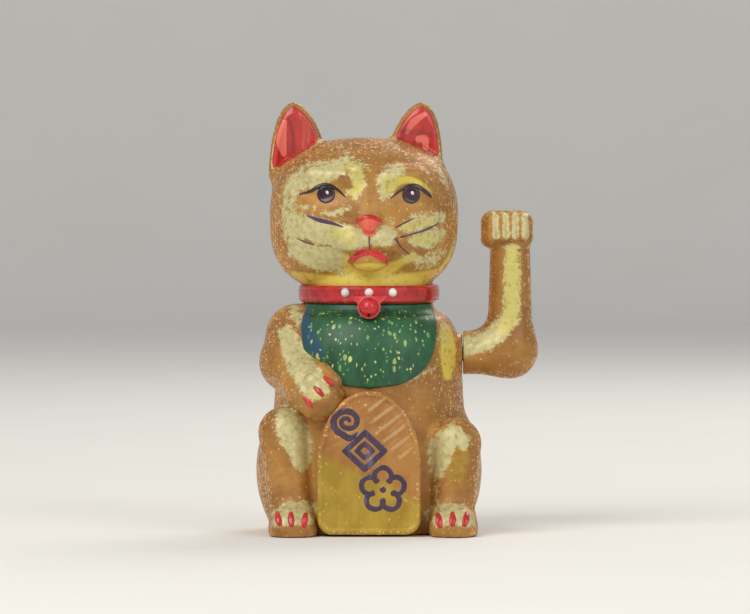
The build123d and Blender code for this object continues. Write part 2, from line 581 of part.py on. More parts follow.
with BuildPart() as magnet:
    with BuildSketch(Plane.XY.offset(CUP_Z[0] - SLACK)):
        with Locations((COIL_X, 0)):
            Circle(MAGNET_R)
    extrude(amount=MAGNET_HIGH)
    chamfer(magnet.faces().sort_by(Axis.Z)[0].edges(), 2 * SLACK)
write(magnet.part, "drive_magnet")

# ---- bearing frame ------------------------------------------------------------------------------
with BuildPart() as frame:
    with BuildSketch(Plane.XY.offset(FRAME_Z)):
        with Locations((COIL_X, 0)):
            RectangleRounded(2 * FRAME_HALF_X, 2 * FRAME_HALF_Y, FRAME_CORNER)
            Circle(COIL_R + COIL_ROOM, mode=Mode.SUBTRACT)
        with Locations(*FRAME_SCREWS):
            Circle(SCREW_R + SLACK, mode=Mode.SUBTRACT)
    extrude(amount=FRAME_THICK)
    for x in UPRIGHT_X:
        with BuildSketch(Plane.YZ.offset(x - half_thick)):
            with Locations((0, (PIVOT_Z + FRAME_Z) / 2)):
                Rectangle(2 * UPRIGHT_HALF, PIVOT_Z - FRAME_Z)
            with Locations((0, PIVOT_Z)):
                Circle(UPRIGHT_HALF)
                Circle(BUSH_R + FIT, mode=Mode.SUBTRACT)
            with Locations(Location((0, WINDOW_Z), 90)):
                SlotOverall(WINDOW_TALL, WINDOW_WIDE, mode=Mode.SUBTRACT)
        extrude(amount=UPRIGHT_THICK)
    with BuildSketch(Plane.YZ.offset(UPRIGHT_X[0])):  # two bars that stop the pendulum
        with Locations((STOP_Y, STOP_Z), (-STOP_Y, STOP_Z)):
            Circle(STOP_R)
    extrude(amount=UPRIGHT_X[1] - UPRIGHT_X[0])
write(frame.part, "bearing_frame")

with BuildPart() as bushes:
    for x, inward in zip(UPRIGHT_X, (1, -1)):
        outer_face = x - inward * half_thick
        with BuildSketch(Plane.YZ.offset(outer_face)):
            with Locations((0, PIVOT_Z)):
                Circle(BUSH_R)
        extrude(amount=inward * UPRIGHT_THICK)
        with BuildSketch(Plane.YZ.offset(x + inward * (half_thick + FIT))):
            with Locations((0, PIVOT_Z)):
                Circle(BUSH_FLANGE_R)
        extrude(amount=inward * BUSH_FLANGE)
        with BuildSketch(Plane.YZ.offset(x + inward * half_thick)):
            with Locations((0, PIVOT_Z)):
                Circle(BUSH_R)
        extrude(amount=inward * BUSH_FLANGE / 2)
    with BuildSketch(Plane.YZ.offset(COIL_X)):
        with Locations((0, PIVOT_Z)):
            Circle(SHAFT_R + RUNNING)
    extrude(amount=UPRIGHT_X[1] - UPRIGHT_X[0], both=True, mode=Mode.SUBTRACT)
write(bushes.part, "shaft_bushes")


def screws(places, head_z, length, head_r=SCREW_HEAD_R, from_below=False, radius=SCREW_R):
    """Pan-head screws with a cross slot, driven down, or up from below."""
    turn = -1 if from_below else 1
    with BuildPart() as group:
        with BuildSketch(Plane.XY.offset(head_z)):
            with Locations(*places):
                Circle(head_r)
        extrude(amount=turn * SCREW_HEAD)
        fillet(group.faces().sort_by(Axis.Z)[:: -turn][: len(places)].edges(), 0.5)
        with BuildSketch(Plane.XY.offset(head_z + turn * SCREW_HEAD)):
            with Locations(*places):
                Rectangle(1.6 * head_r, SLOT_WIDE)
                Rectangle(SLOT_WIDE, 1.6 * head_r)
        extrude(amount=-turn * SLOT_DEEP, mode=Mode.SUBTRACT)
        with BuildSketch(Plane.XY.offset(head_z)):
            with Locations(*places):
                Circle(radius)
        extrude(amount=-turn * length)
    return group.part


write(screws(FRAME_SCREWS, FRAME_Z + FRAME_THICK + FIT, FRAME_SCREW_LONG), "frame_screws")
write(screws(SCREW_PLACES, BASE_LOW + SINK - FIT, BASE_SCREW_LONG, from_below=True), "base_screws")

# ---- coil ---------------------------------------------------------------------------------------
with BuildPart() as bobbin:
    with BuildSketch(Plane.XZ):
        with BuildLine():
            low, high, end = BASE_HIGH + FIT, COIL_TOP, BOBBIN_END
            Polyline(
                (CORE_R + FIT, low), (COIL_R, low), (COIL_R, low + end), (TUBE_R, low + end),
                (TUBE_R, high - end), (COIL_R, high - end), (COIL_R, high), (CORE_R + FIT, high),
                close=True,
            )
        make_face()
    revolve(axis=Axis.Z)
write(bobbin.part.moved(Location((COIL_X, 0, 0))), "coil_bobbin")

with BuildPart() as winding:
    with BuildSketch(Plane.XY.offset(BASE_HIGH + BOBBIN_END + 2 * FIT)):
        with Locations((COIL_X, 0)):
            Circle(WINDING_R)
            Circle(TUBE_R + FIT, mode=Mode.SUBTRACT)
    extrude(amount=COIL_TOP - BASE_HIGH - 2 * BOBBIN_END - 3 * FIT)
write(winding.part, "coil_winding")

with BuildPart() as core:
    with BuildSketch(Plane.XY.offset(BASE_HIGH + FIT)):
        with Locations((COIL_X, 0)):
            Circle(CORE_R)
    extrude(amount=COIL_TOP - BASE_HIGH + SLACK)
write(core.part, "coil_core")

# ---- base plate ---------------------------------------------------------------------------------
box_middle = ((BOX_Y[0] + BOX_Y[1]) / 2, BOX_Y[1] - BOX_Y[0])
inner_x, inner_y = BOX_X - BOX_WALL, (BOX_Y[0] + BOX_WALL, BOX_Y[1] - BOX_WALL)
cell_y, cell_z = CELL_AT
with BuildPart() as base:
    with BuildSketch(Plane.XY.offset(BASE_LOW)):
        Circle(BASE_R)
    extrude(amount=BASE_HIGH - BASE_LOW)
    with BuildSketch(Plane.XY):  # the rim it stands on
        Circle(BASE_R)
        Circle(RIM_IN_R, mode=Mode.SUBTRACT)
    extrude(amount=BASE_LOW)
    with BuildSketch(Plane.XY.offset(BASE_LOW)):  # battery box
        with Locations((0, box_middle[0])):
            Rectangle(2 * BOX_X, box_middle[1])
    extrude(amount=BOX_TOP - BASE_LOW)
    with BuildSketch(Plane.XY.offset(BASE_HIGH)):
        with Locations(*FRAME_SCREWS):
            Circle(FRAME_POST_R)
    extrude(amount=FRAME_Z - BASE_HIGH)
    with BuildSketch(Plane.XY.offset(BASE_HIGH)):
        with Locations(*BOARD_SCREWS):
            Circle(BOARD_POST_R)
    extrude(amount=BOARD_Z[0] - BASE_HIGH)
    with BuildSketch(Plane.XY.offset(BASE_LOW)):
        with Locations((0, box_middle[0])):
            Rectangle(2 * inner_x, inner_y[1] - inner_y[0])
    extrude(amount=BOX_TOP - BOX_WALL - BASE_LOW, mode=Mode.SUBTRACT)
    for wall in inner_y:  # ledges that the closed door stops against
        inward = LEDGE / 2 if wall == inner_y[0] else -LEDGE / 2
        with BuildSketch(Plane.XY.offset(DOOR_TOP + DOOR_GAP)):
            with Locations((inner_x - LEDGE_LONG / 2, wall + inward)):
                Rectangle(LEDGE_LONG, LEDGE)
        extrude(amount=LEDGE)
    with BuildSketch(Plane.XZ.offset(-inner_y[0] + DOOR_PIN)):  # sockets for the door's pins
        with Locations(DOOR_PIVOT):
            Circle(DOOR_PIN_R + SEAM)
    extrude(amount=-(inner_y[1] - inner_y[0] + 2 * DOOR_PIN), mode=Mode.SUBTRACT)
    with BuildSketch(Plane.XY.offset(BOX_TOP - BOX_WALL)):  # slots for the contact tabs
        with Locations((-inner_x + TAB_THICK, cell_y), (inner_x - TAB_THICK, cell_y)):
            Rectangle(2 * TAB_THICK, 2 * TAB_HALF + SLACK)
    extrude(amount=BOX_WALL, mode=Mode.SUBTRACT)
    with BuildSketch(Plane.XY.offset(BASE_LOW)):
        with Locations(*SCREW_PLACES):
            Circle(SCREW_R + SLACK)
    extrude(amount=BASE_HIGH - BASE_LOW, mode=Mode.SUBTRACT)
    with BuildSketch(Plane.XY.offset(BASE_LOW)):
        with Locations(*SCREW_PLACES):
            Circle(SCREW_HEAD_R + SLACK)
    extrude(amount=SINK, mode=Mode.SUBTRACT)
    with BuildSketch(Plane.XY.offset(FRAME_Z)):
        with Locations(*FRAME_SCREWS):
            Circle(PILOT_R)
    extrude(amount=BASE_HIGH - FRAME_Z, mode=Mode.SUBTRACT)
    with BuildSketch(Plane.XY.offset(BOARD_Z[0])):
        with Locations(*BOARD_SCREWS):
            Circle(SMALL_SCREW_R + FIT)
    extrude(amount=BASE_HIGH - BOARD_Z[0], mode=Mode.SUBTRACT)
    with BuildSketch(Plane.XY.offset(BASE_HIGH)):
        with Locations(*SWITCH_SCREWS):
            Circle(SMALL_SCREW_R + FIT)
    extrude(amount=-1.6, mode=Mode.SUBTRACT)
    with BuildSketch(Plane.XY.offset(BASE_LOW)):  # slot for the switch knob
        with Locations(SWITCH_AT):
            Rectangle(SWITCH_TRAVEL + KNOB[0] + 3 * SLACK, KNOB[1] + 3 * SLACK)
    extrude(amount=BASE_HIGH - BASE_LOW, mode=Mode.SUBTRACT)
write(base.part, "base_plate")

door_y = (inner_y[0] + DOOR_GAP, inner_y[1] - DOOR_GAP)
with BuildPart() as door:
    with BuildSketch(Plane.XY.offset(BASE_LOW)):
        with Locations(((DOOR_PIVOT[0] + inner_x - DOOR_GAP) / 2, cell_y)):
            Rectangle(inner_x - DOOR_GAP - DOOR_PIVOT[0], door_y[1] - door_y[0])
    extrude(amount=DOOR_TOP - BASE_LOW)
    with BuildSketch(Plane.XZ.offset(-door_y[0])):
        with Locations(DOOR_PIVOT):
            Circle(DOOR_KNUCKLE_R)
    extrude(amount=-(door_y[1] - door_y[0]))
    with BuildSketch(Plane.XZ.offset(-door_y[0] + DOOR_PIN)):
        with Locations(DOOR_PIVOT):
            Circle(DOOR_PIN_R)
    extrude(amount=-(door_y[1] - door_y[0] + 2 * DOOR_PIN))
    with BuildSketch(Plane.XY.offset(BASE_LOW)):  # grooves for the thumb
        with Locations((GRIP_X, cell_y)):
            with GridLocations(GRIP_STEP, 0, GRIP_GROOVES, 1):
                Rectangle(GRIP_STEP / 2, GRIP_LONG)
    extrude(amount=GRIP_STEP / 3, mode=Mode.SUBTRACT)
    with BuildSketch(Plane.XY.offset(BASE_LOW)):  # slits beside the latch tongue
        with Locations((inner_x - TONGUE_LONG / 2, cell_y)):
            with GridLocations(0, 2 * TONGUE_HALF, 1, 2):
                Rectangle(TONGUE_LONG, TONGUE_SLIT)
    extrude(amount=DOOR_TOP - BASE_LOW, mode=Mode.SUBTRACT)
write(door.part, "battery_door")

# ---- battery and its contacts -------------------------------------------------------------------
with BuildPart() as cell:
    with BuildSketch(Plane.YZ.offset(CELL_X[0])):
        with Locations(CELL_AT):
            Circle(CELL_R)
    extrude(amount=CELL_X[1] - CELL_X[0])
    fillet(cell.edges().filter_by(GeomType.CIRCLE), 0.6)
    with BuildSketch(Plane.YZ.offset(CELL_X[1])):
        with Locations(CELL_AT):
            Circle(NUB_R)
    extrude(amount=NUB_LENGTH)
write(cell.part, "battery_cell")


def contact(face_x, outward):
    """A spring-steel plate against the end wall, with a tab up through the roof."""
    with BuildPart() as plate:
        with BuildSketch(Plane.YZ.offset(face_x)):
            with Locations(CELL_AT):
                Rectangle(PLATE, PLATE)
            with Locations((cell_y, (cell_z + TAB_TOP) / 2)):
                Rectangle(2 * TAB_HALF, TAB_TOP - cell_z)
        extrude(amount=outward * TAB_THICK)
    return plate.part


plus_face = CELL_X[1] + NUB_LENGTH + FIT
write(contact(plus_face, 1), "battery_contact")

minus_face = -inner_x + TAB_THICK + FIT
spring_length = CELL_X[0] - FIT - SPRING_WIRE_R - minus_face
with BuildPart() as spring:
    add(contact(minus_face, -1))
    with BuildLine():
        coil = Helix(
            pitch=SPRING_PITCH, height=spring_length, radius=SPRING_R,
            center=(minus_face, cell_y, cell_z), direction=(1, 0, 0), cone_angle=SPRING_CONE,
        )
    with BuildSketch(Plane(origin=coil @ 0, z_dir=coil % 0)):
        Circle(SPRING_WIRE_R)
    sweep(path=coil, is_frenet=True)
write(spring.part, "battery_spring")

# ---- circuit board ------------------------------------------------------------------------------
board_middle = ((BOARD_X[0] + BOARD_X[1]) / 2, 0)
with BuildPart() as board:
    with BuildSketch(Plane.XY.offset(BOARD_Z[0])):
        with Locations(board_middle):
            RectangleRounded(BOARD_X[1] - BOARD_X[0], 2 * BOARD_HALF_Y, 1)
        with Locations(*BOARD_SCREWS):
            Circle(SMALL_SCREW_R + SLACK, mode=Mode.SUBTRACT)
    extrude(amount=BOARD_Z[1] - BOARD_Z[0])
write(board.part, "circuit_board")
board_fixings = screws(
    BOARD_SCREWS, BOARD_Z[1] + FIT, BOARD_SCREW_LONG, head_r=SMALL_HEAD_R, radius=SMALL_SCREW_R
)
write(board_fixings, "board_screws")

board_top = BOARD_Z[1] + FIT
with BuildPart() as chip:
    with BuildSketch(Plane.XY.offset(board_top + SLACK)):
        with Locations(CHIP_AT):
            Rectangle(*CHIP_SIZE)
    extrude(amount=CHIP_HIGH)
    chamfer(chip.faces().sort_by(Axis.Z)[-1].edges(), CHIP_BEVEL)
    with BuildSketch(Plane.XY.offset(board_top)):  # four legs on each long side
        with Locations(CHIP_AT):
            with GridLocations(CHIP_PITCH, CHIP_SIZE[1] + CHIP_LEG[0], 4, 2):
                Rectangle(*CHIP_LEG)
    extrude(amount=CHIP_LEG[0])
write(chip.part, "driver_chip")

with BuildPart() as capacitor:
    with BuildSketch(Plane.XY.offset(board_top)):
        with Locations(CAPACITOR_AT):
            Circle(CAPACITOR_R)
    extrude(amount=CAPACITOR_HIGH)
    fillet(capacitor.edges().sort_by(Axis.Z)[-1], 2 * SLACK)
    with BuildSketch(Plane.XY.offset(board_top + CAPACITOR_CRIMP)):  # the crimp round its foot
        with Locations(CAPACITOR_AT):
            Circle(2 * CAPACITOR_R)
            Circle(CAPACITOR_R - SLACK, mode=Mode.SUBTRACT)
    extrude(amount=CAPACITOR_CRIMP / 2, mode=Mode.SUBTRACT)
write(capacitor.part, "capacitor")

with BuildPart() as resistors:
    with BuildSketch(Plane.XY.offset(board_top)):
        with Locations(*[(RESISTOR_X, y) for y in RESISTOR_Y]):
            Rectangle(*RESISTOR_SIZE[:2])
    extrude(amount=RESISTOR_SIZE[2])
write(resistors.part, "resistors")

# ---- slide switch -------------------------------------------------------------------------------
switch_floor = BASE_HIGH + FIT
knob_at = (SWITCH_AT[0] - SWITCH_TRAVEL / 2, SWITCH_AT[1])
with BuildPart() as switch_body:
    with BuildSketch(Plane.XY.offset(switch_floor)):
        with Locations(SWITCH_AT):
            RectangleRounded(*SWITCH_FLANGE, SWITCH_PLATE)
    extrude(amount=SWITCH_PLATE)
    with BuildSketch(Plane.XY.offset(switch_floor)):
        with Locations(SWITCH_AT):
            Rectangle(*SWITCH_CAN)
    extrude(amount=SWITCH_HIGH)
    with BuildSketch(Plane.XY.offset(switch_floor)):
        with Locations(SWITCH_AT):
            Rectangle(*SWITCH_INSIDE)
    extrude(amount=SWITCH_HIGH - 1.5 * SWITCH_PLATE, mode=Mode.SUBTRACT)
    with BuildSketch(Plane.XY.offset(switch_floor)):
        with Locations(*SWITCH_SCREWS):
            Circle(SMALL_SCREW_R + SLACK)
    extrude(amount=2 * SWITCH_PLATE, mode=Mode.SUBTRACT)
write(switch_body.part, "switch_body")
head_z = switch_floor + SWITCH_PLATE + FIT
switch_fixings = screws(
    SWITCH_SCREWS, head_z, SWITCH_SCREW_LONG, head_r=SMALL_HEAD_R - 2 * SLACK, radius=SMALL_SCREW_R
)
write(switch_fixings, "switch_screws")

with BuildPart() as lugs:
    with BuildSketch(Plane.XY.offset(switch_floor + SWITCH_HIGH + FIT)):
        with Locations(*[(x, SWITCH_AT[1]) for x in LUG_X]):
            Rectangle(*LUG_SIZE[:2])
    extrude(amount=LUG_SIZE[2])
write(lugs.part, "switch_lugs")

with BuildPart() as slider:
    with BuildSketch(Plane.XY.offset(BASE_HIGH + SLIDER_GAP)):
        with Locations(knob_at):
            Rectangle(*SLIDER_SIZE[:2])
    extrude(amount=SLIDER_SIZE[2])
    with BuildSketch(Plane.XY.offset(KNOB_LOW)):
        with Locations(knob_at):
            Rectangle(*KNOB)
    extrude(amount=BASE_HIGH + 2 * SLIDER_GAP - KNOB_LOW)
    with BuildSketch(Plane.XY.offset(KNOB_LOW)):  # two grooves for the fingernail
        with Locations(knob_at):
            with GridLocations(KNOB[0] / 3, 0, 2, 1):
                Rectangle(KNOB[0] / 8, KNOB[1])
    extrude(amount=2 * SLACK, mode=Mode.SUBTRACT)
write(slider.part, "switch_slider")

# ---- leads --------------------------------------------------------------------------------------
lug_top = switch_floor + SWITCH_HIGH + LUG_SIZE[2] + 2 * FIT
pad_z = BOARD_Z[1] + FIT
tab_in = plus_face - FIT
switch_y = SWITCH_AT[1]
red_route = [(tab_in, cell_y, LEAD_Z), (-20, cell_y, LEAD_Z), (-20, 6.5, LEAD_Z), (-20, 6.5, pad_z)]
black_route = [(minus_face - TAB_THICK - FIT, cell_y, LEAD_Z), (-33.5, cell_y, LEAD_Z)]
black_route += [(-33.5, switch_y, LEAD_Z), (LUG_X[0], switch_y, LEAD_Z), (LUG_X[0], switch_y, lug_top)]
switch_route = [(LUG_X[1], switch_y, lug_top), (LUG_X[1], switch_y, 15.5)]
switch_route += [(LUG_X[1], -8.2, 15.5), (LUG_X[1], -8.2, pad_z)]
write(wire(red_route, LEAD_R, LEAD_BEND), "battery_lead_red")
write(wire(black_route, LEAD_R, LEAD_BEND), "battery_lead_black")
write(wire(switch_route, LEAD_R, SHORT_LEAD_BEND), "switch_lead")

with BuildPart() as coil_leads:
    for y in (-COIL_LEAD_Y, COIL_LEAD_Y):
        start_x = COIL_X - math.sqrt(WINDING_R**2 - y**2) - SEAM
        route = [(start_x, y, 5.6), (-7.0, y, 5.6), (-7.0, y, 13.0), (-12.5, y, 13.0)]
        add(wire(route + [(-12.5, y, pad_z)], COIL_LEAD_R, COIL_LEAD_BEND))
write(coil_leads.part, "coil_leads")
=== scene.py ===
"""The looks of the beckoning cat: sculpted shells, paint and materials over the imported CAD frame.

Lengths in this script are millimetres until a mesh is made. The cat faces -Y. Painted marks are
placed in the front view: across is X, and up is the height as seen by the camera, which looks
slightly down.
"""

import math

import bmesh
import bpy
import numpy as np
from mathutils import Matrix, Vector
from mathutils.geometry import delaunay_2d_cdt


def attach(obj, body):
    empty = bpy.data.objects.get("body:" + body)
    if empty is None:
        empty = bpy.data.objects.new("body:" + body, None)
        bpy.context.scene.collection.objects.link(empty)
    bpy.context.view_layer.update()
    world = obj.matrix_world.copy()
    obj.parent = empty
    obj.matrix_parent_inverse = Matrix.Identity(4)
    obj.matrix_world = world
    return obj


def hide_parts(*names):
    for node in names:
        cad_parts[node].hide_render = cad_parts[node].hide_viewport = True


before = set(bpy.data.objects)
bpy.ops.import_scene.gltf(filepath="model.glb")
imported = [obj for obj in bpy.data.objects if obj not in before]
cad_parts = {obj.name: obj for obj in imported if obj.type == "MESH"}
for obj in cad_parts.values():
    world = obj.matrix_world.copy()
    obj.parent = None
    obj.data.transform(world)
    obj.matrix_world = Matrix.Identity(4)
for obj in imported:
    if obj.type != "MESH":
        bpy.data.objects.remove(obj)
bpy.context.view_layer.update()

MM = 0.001
VIEW_DROP = math.radians(1.5)  # how far the camera looks down
VIEW_REACH, VIEW_WIDE = 2600.0, 345.6  # its distance, and the width that it takes in there
VIEW_MIDDLE = np.array([2.76, 0.0, 102.8])
VIEW_BACK = np.array([0.0, -math.cos(VIEW_DROP), math.sin(VIEW_DROP)])
VIEW_UP = np.array([0.0, math.sin(VIEW_DROP), math.cos(VIEW_DROP)])

# ---- sizes of the figure, as in the CAD ---------------------------------------------------------
WALL, ARM_WALL, SEAM, GLUE = 2.0, 1.7, 0.05, 0.15
RIM_Z = 0.4
TORSO = [(45.5, RIM_Z), (46.6, 18), (45.6, 38), (43.7, 58), (42.7, 76), (41.4, 88), (37.2, 97.2)]
TORSO += [(31.2, 101.4), (29.5, 104.8), (29.3, 114), (27.5, 123)]
HEAD_AT, HEAD_HALF, HEAD_POWER = (-2.3, -2.0, 145.5), (43.3, 35.3), 2.35
CHEEKS = [((-21.8, -6.0, 131.4), (20.5, 19.0, 19.0)), ((17.2, -6.0, 131.4), (20.5, 19.0, 19.0))]
EARS = [(-32.8, -34.8), (20.4, 24.2)]  # X of each ear's root and tip
EAR_BASE_Z, EAR_TIP_Z, EAR_HALF, EAR_DEEP, EAR_Y = 163.0, 197.0, 13.4, 7.4, 2.0
THIGHS, THIGH_HALF = {-1: (-37.2, -6.0, 28.2), 1: (37.2, -6.0, 28.2)}, (14.6, 28.0, 28.0)
KNEES, KNEE_R = {-1: (-38.8, -31.0, 46.5), 1: (39.6, -32.0, 41.5)}, 11.6
ANKLES, ANKLE_R = {-1: (-35.2, -37.0, 12.0), 1: (38.4, -37.0, 12.0)}, 9.6
FEET, FOOT_HALF = {-1: (-34.4, -42.5, 3.6), 1: (38.3, -42.5, 3.6)}, (11.3, 15.5, 11.3)
TOE_MIDDLE, TOE_SPREAD, TOE_HALF = {-1: -34.5, 1: 37.4}, 6.0, (3.6, 6.0, 6.4)
LOW_ARM = [((-33.0, -4.0, 90.0), 14.5), ((-36.5, -17.0, 78.0), 13.0), ((-27.0, -36.0, 67.5), 11.2)]
LOW_ARM += [((-21.5, -43.0, 62.5), 10.8)]
TAIL = ((4.0, 42.0, 13.0), 7.0, (-3.0, 46.0, 30.0), 5.2)
PIVOT_Z, SHOULDER_HOLE_R, SEAT_R, SEAT_X = 81.5, 4.2, 9.3, 42.95
ARM_ROOT_X, ARM_ROOT_WALL, SPIGOT_R = 43.4, 2.0, 3.55
ELBOW, ELBOW_R, WRIST, WRIST_R, UPPER_R = (65.0, 0.0, 82.7), 10.6, (65.0, 0.0, 131.0), 9.1, 9.8
PALM_LOW, PALM_HIGH, PALM_CORNER = (51.6, -9.5, 129.5), (75.4, 9.5, 147.3), 5.5
FINGER_FIRST_X, FINGER_APART, FINGER_Y = 56.4, 4.75, (-7.2, -9.0)  # its Y at the top and at the tip
FINGER_TOP_Z, FINGER_TIP_Z, FINGER_R = 143.4, 134.6, (3.0, 2.7)
THUMB = ((54.2, -3, 133.6), 2.6, (56.5, -8.4, 138.4), 2.3)
SPIGOT_END_X, SOCKET_FROM_X = 50.0, 30.0  # how far the hub's spigot and the shoulder's socket reach
SCREW_PLACES = [(14.3, -35.4), (-14.3, -35.4), (12.0, 36.3), (-12.0, 36.3)]
BOSS_R, BOSS_TOP = 3.7, 17.0
BEAD_R, BEAD_Z, BEAD_TURN, BELL_AT, BELL_R = 1.95, 110.2, 19.4, (0.0, -40.5, 103.7), 4.2
COLLAR_R, COLLAR_Z = (29.85, 32.4), (105.2, 113.2)
BIB_EDGE = [(104.9, 28.6), (93.5, 31.0), (78.5, 27.6), (69.6, 16.5), (66.9, 0.5)]  # height, half width
BIB_THICK, COIN_HALF, COIN_Z, COIN_SHOULDER_Z, COIN_CORNER = 1.2, 23.4, (1.0, 66.2), 33.0, 7.0
COIN_FRONT_Y, COIN_BACK_Y, COIN_BEVEL = -51.2, -34.0, 1.4
CHISEL_APART, CHISEL_DEEP, CHISEL_LONG = 5.2, 0.32, 17.0  # the slanting strokes cut in the coin
FIELD_DEEP = 0.55  # the coin's field below its rim
SLANT = (0.80, -0.60)  # across a chisel stroke, as shares of Z and X

# ---- forms that the CAD leaves out ----------------------------------------------------------------
EYE_X, EYE_Z, SOCKET_Y, BALL_Y = 19.6, 156.3, -42.2, -27.6
SOCKET_HALF, BALL_HALF = (10.0, 7.2, 6.0), (7.4, 5.6, 5.2)
PAD_AT, PAD_HALF = (6.4, -34.2, 134.2), (8.4, 6.2, 6.6)  # one side of the muzzle
BROW_IN, BROW_OUT = (9.0, -33.2, 163.0), (24.0, -28.6, 164.0)
CHIN_AT, CHIN_HALF = (0.0, -32.5, 124.2), (8.0, 5.2, 4.6)
BRIDGE = ((0, -31.8, 156), 3.2, (0, -36.0, 146), 3.4)
NOSE_BAR = ((-3.4, -38.4, 144.0), 2.5, (3.4, -38.4, 144.0), 2.5)
NOSE_TIP = ((0, -39.2, 141.2), (3.2, 2.6, 3.2))
EAR_RIM, DISH_FORWARD = 1.9, 6.3  # the rim round the hollow of an ear, and how far forward that lies
SWING_ROOM = 1.4  # flat all round the root of the raised arm
HOLLOW_FRONT_Y, HOLLOW_FROM_Z = -30.5, 3.4  # thicker behind the eye sockets and under the limbs
LIMB_EXTRA, SHOULDER_EXTRA = 0.8, 1.6  # more wall in the limbs, and where the shoulders slope

CELL = 1.11  # grid of the sculpted body
FINE = 0.5  # grid of the arm and the coin


# ---- distance fields: each takes points (n, 3) and is negative inside ---------------------------
def ellipsoid(p, centre, half):
    q = p - centre
    near = np.linalg.norm(q / half, axis=1)
    steep = np.linalg.norm(q / np.square(half), axis=1)
    return near * (near - 1) / np.maximum(steep, 1e-6)


def round_cone(p, start, start_r, end, end_r):
    """A round-ended bar that tapers from one radius to another."""
    start, run = np.asarray(start), np.subtract(end, start)
    length = np.linalg.norm(run)
    run = run / length
    q = p - start
    along = q @ run
    off = np.sqrt(np.maximum(np.einsum("ij,ij->i", q, q) - along**2, 0))
    lean = (start_r - end_r) / length
    rise = math.sqrt(1 - lean**2)
    share = along - off * lean / rise
    side = off * rise + along * lean - start_r
    at_start = np.hypot(along, off) - start_r
    at_end = np.hypot(along - length, off) - end_r
    return np.where(share < 0, at_start, np.where(share > length, at_end, side))


def round_box(p, low, high, corner):
    middle, half = np.add(low, high) / 2, np.subtract(high, low) / 2 - corner
    q = np.abs(p - middle) - half
    return np.linalg.norm(np.maximum(q, 0), axis=1) + np.minimum(q.max(axis=1), 0) - corner


def join(a, b, soft):
    """Union with a fillet."""
    h = np.maximum(soft - np.abs(a - b), 0)
    return np.minimum(a, b) - h * h / (4 * soft)


def join_inside(a, b, soft):
    """Intersection with a rounded edge."""
    return -join(-a, -b, soft)


def cut(a, b, soft=0.3):
    """a without b, with a rounded edge."""
    return -join(-a, b, soft)


def smooth_step(x, low, high):
    t = np.clip((x - low) / (high - low), 0, 1)
    return t * t * (3 - 2 * t)


def smooth_curve(points, steps=12):
    """Points along a curve through the given ones."""
    points = np.asarray(points, float)
    slopes = np.gradient(points, axis=0)
    t = np.linspace(0, 1, steps, endpoint=False)[:, None]
    pieces = []
    for a, b, sa, sb in zip(points[:-1], points[1:], slopes[:-1], slopes[1:]):
        rise = t * t * (3 - 2 * t)
        pieces.append(a + (b - a) * rise + sa * t * (1 - t) ** 2 - sb * t * t * (1 - t))
    return np.vstack(pieces + [points[-1:]])


OUTLINE = smooth_curve(TORSO)


def torso(p):
    around = np.hypot(p[:, 0], p[:, 1])
    side = around - np.interp(p[:, 2], OUTLINE[:, 1], OUTLINE[:, 0])
    return np.maximum(side * 0.97, p[:, 2] - OUTLINE[-1, 1])


def skull(p):
    q = p - HEAD_AT
    across = np.abs(q[:, 0]) / HEAD_HALF[0] + 1e-6
    around = np.hypot(q[:, 1], q[:, 2]) / HEAD_HALF[1] + 1e-6
    power = HEAD_POWER
    level = (across**power + around**power) ** (1 / power)
    steep = np.hypot(across ** (power - 1) / HEAD_HALF[0], around ** (power - 1) / HEAD_HALF[1])
    return (level - 1) / (steep * level ** (1 - power))


def ear_shape(p, which, inset=0.0, forward=0.0):
    """A leaf that is widest at its root and rounded at its tip."""
    root, tip = EARS[which]
    t = np.clip((p[:, 2] - EAR_BASE_Z) / (EAR_TIP_Z - inset - EAR_BASE_Z), 0, 1)
    narrow = np.maximum(1 - t**2.1, 0) ** 0.55
    tuck = 0.5 * np.maximum(EAR_BASE_Z - p[:, 2], 0)
    bow = math.copysign(0.7, root) * np.sin(math.pi * t)
    across = p[:, 0] - (root + (tip - root) * t - bow)
    wide = np.maximum(EAR_HALF * narrow - inset - tuck, 0.3)
    deep = np.maximum(EAR_DEEP * (0.35 + 0.65 * narrow) * narrow**0.3 - inset - 0.3 * tuck, 0.3)
    level = np.hypot(across / wide, (p[:, 1] - EAR_Y + forward) / deep)
    side = (level - 1) * np.minimum(wide, deep)
    level = np.maximum(p[:, 2] - EAR_TIP_Z + inset, EAR_BASE_Z - 14 - p[:, 2])
    return np.maximum(side, level * 0.8)


def leg(p, side, detail):
    shape = ellipsoid(p, THIGHS[side], THIGH_HALF)
    shin = round_cone(p, KNEES[side], KNEE_R, ANKLES[side], ANKLE_R)
    shape = join(shape, shin, 5.0 if detail else 1.0)
    shape = join(shape, ellipsoid(p, FEET[side], FOOT_HALF), 4.0 if detail else 1.0)
    if detail:
        for toe in (-1, 0, 1):
            place = (TOE_MIDDLE[side] + toe * TOE_SPREAD, FEET[side][1] - 9.6 + abs(toe) * 1.5, 4.8)
            shape = join(shape, ellipsoid(p, place, TOE_HALF), 1.2)
    return shape


PAW_AXIS = np.array([0.71, -0.2, -0.67])  # the way the lowered paw points
PAW_ACROSS = np.array([0.66, 0.0, 0.75])
PAW_TOES = np.array([-22.6, -48.2, 67.2])  # its middle toe


def low_arm(p, detail):
    shape = None
    for (a, ra), (b, rb) in zip(LOW_ARM[:-1], LOW_ARM[1:]):
        bar = round_cone(p, a, ra, b, rb)
        shape = bar if shape is None else join(shape, bar, 3.0 if detail else 0.5)
    if detail:
        for toe in (-1, 0, 1):
            place = PAW_TOES + PAW_ACROSS * toe * 6.5 + np.array([0, abs(toe) * 1.2, 0])
            shape = join(shape, round_cone(p, place - PAW_AXIS * 4, 4.2, place + PAW_AXIS * 3, 3.9), 0.9)
    return shape


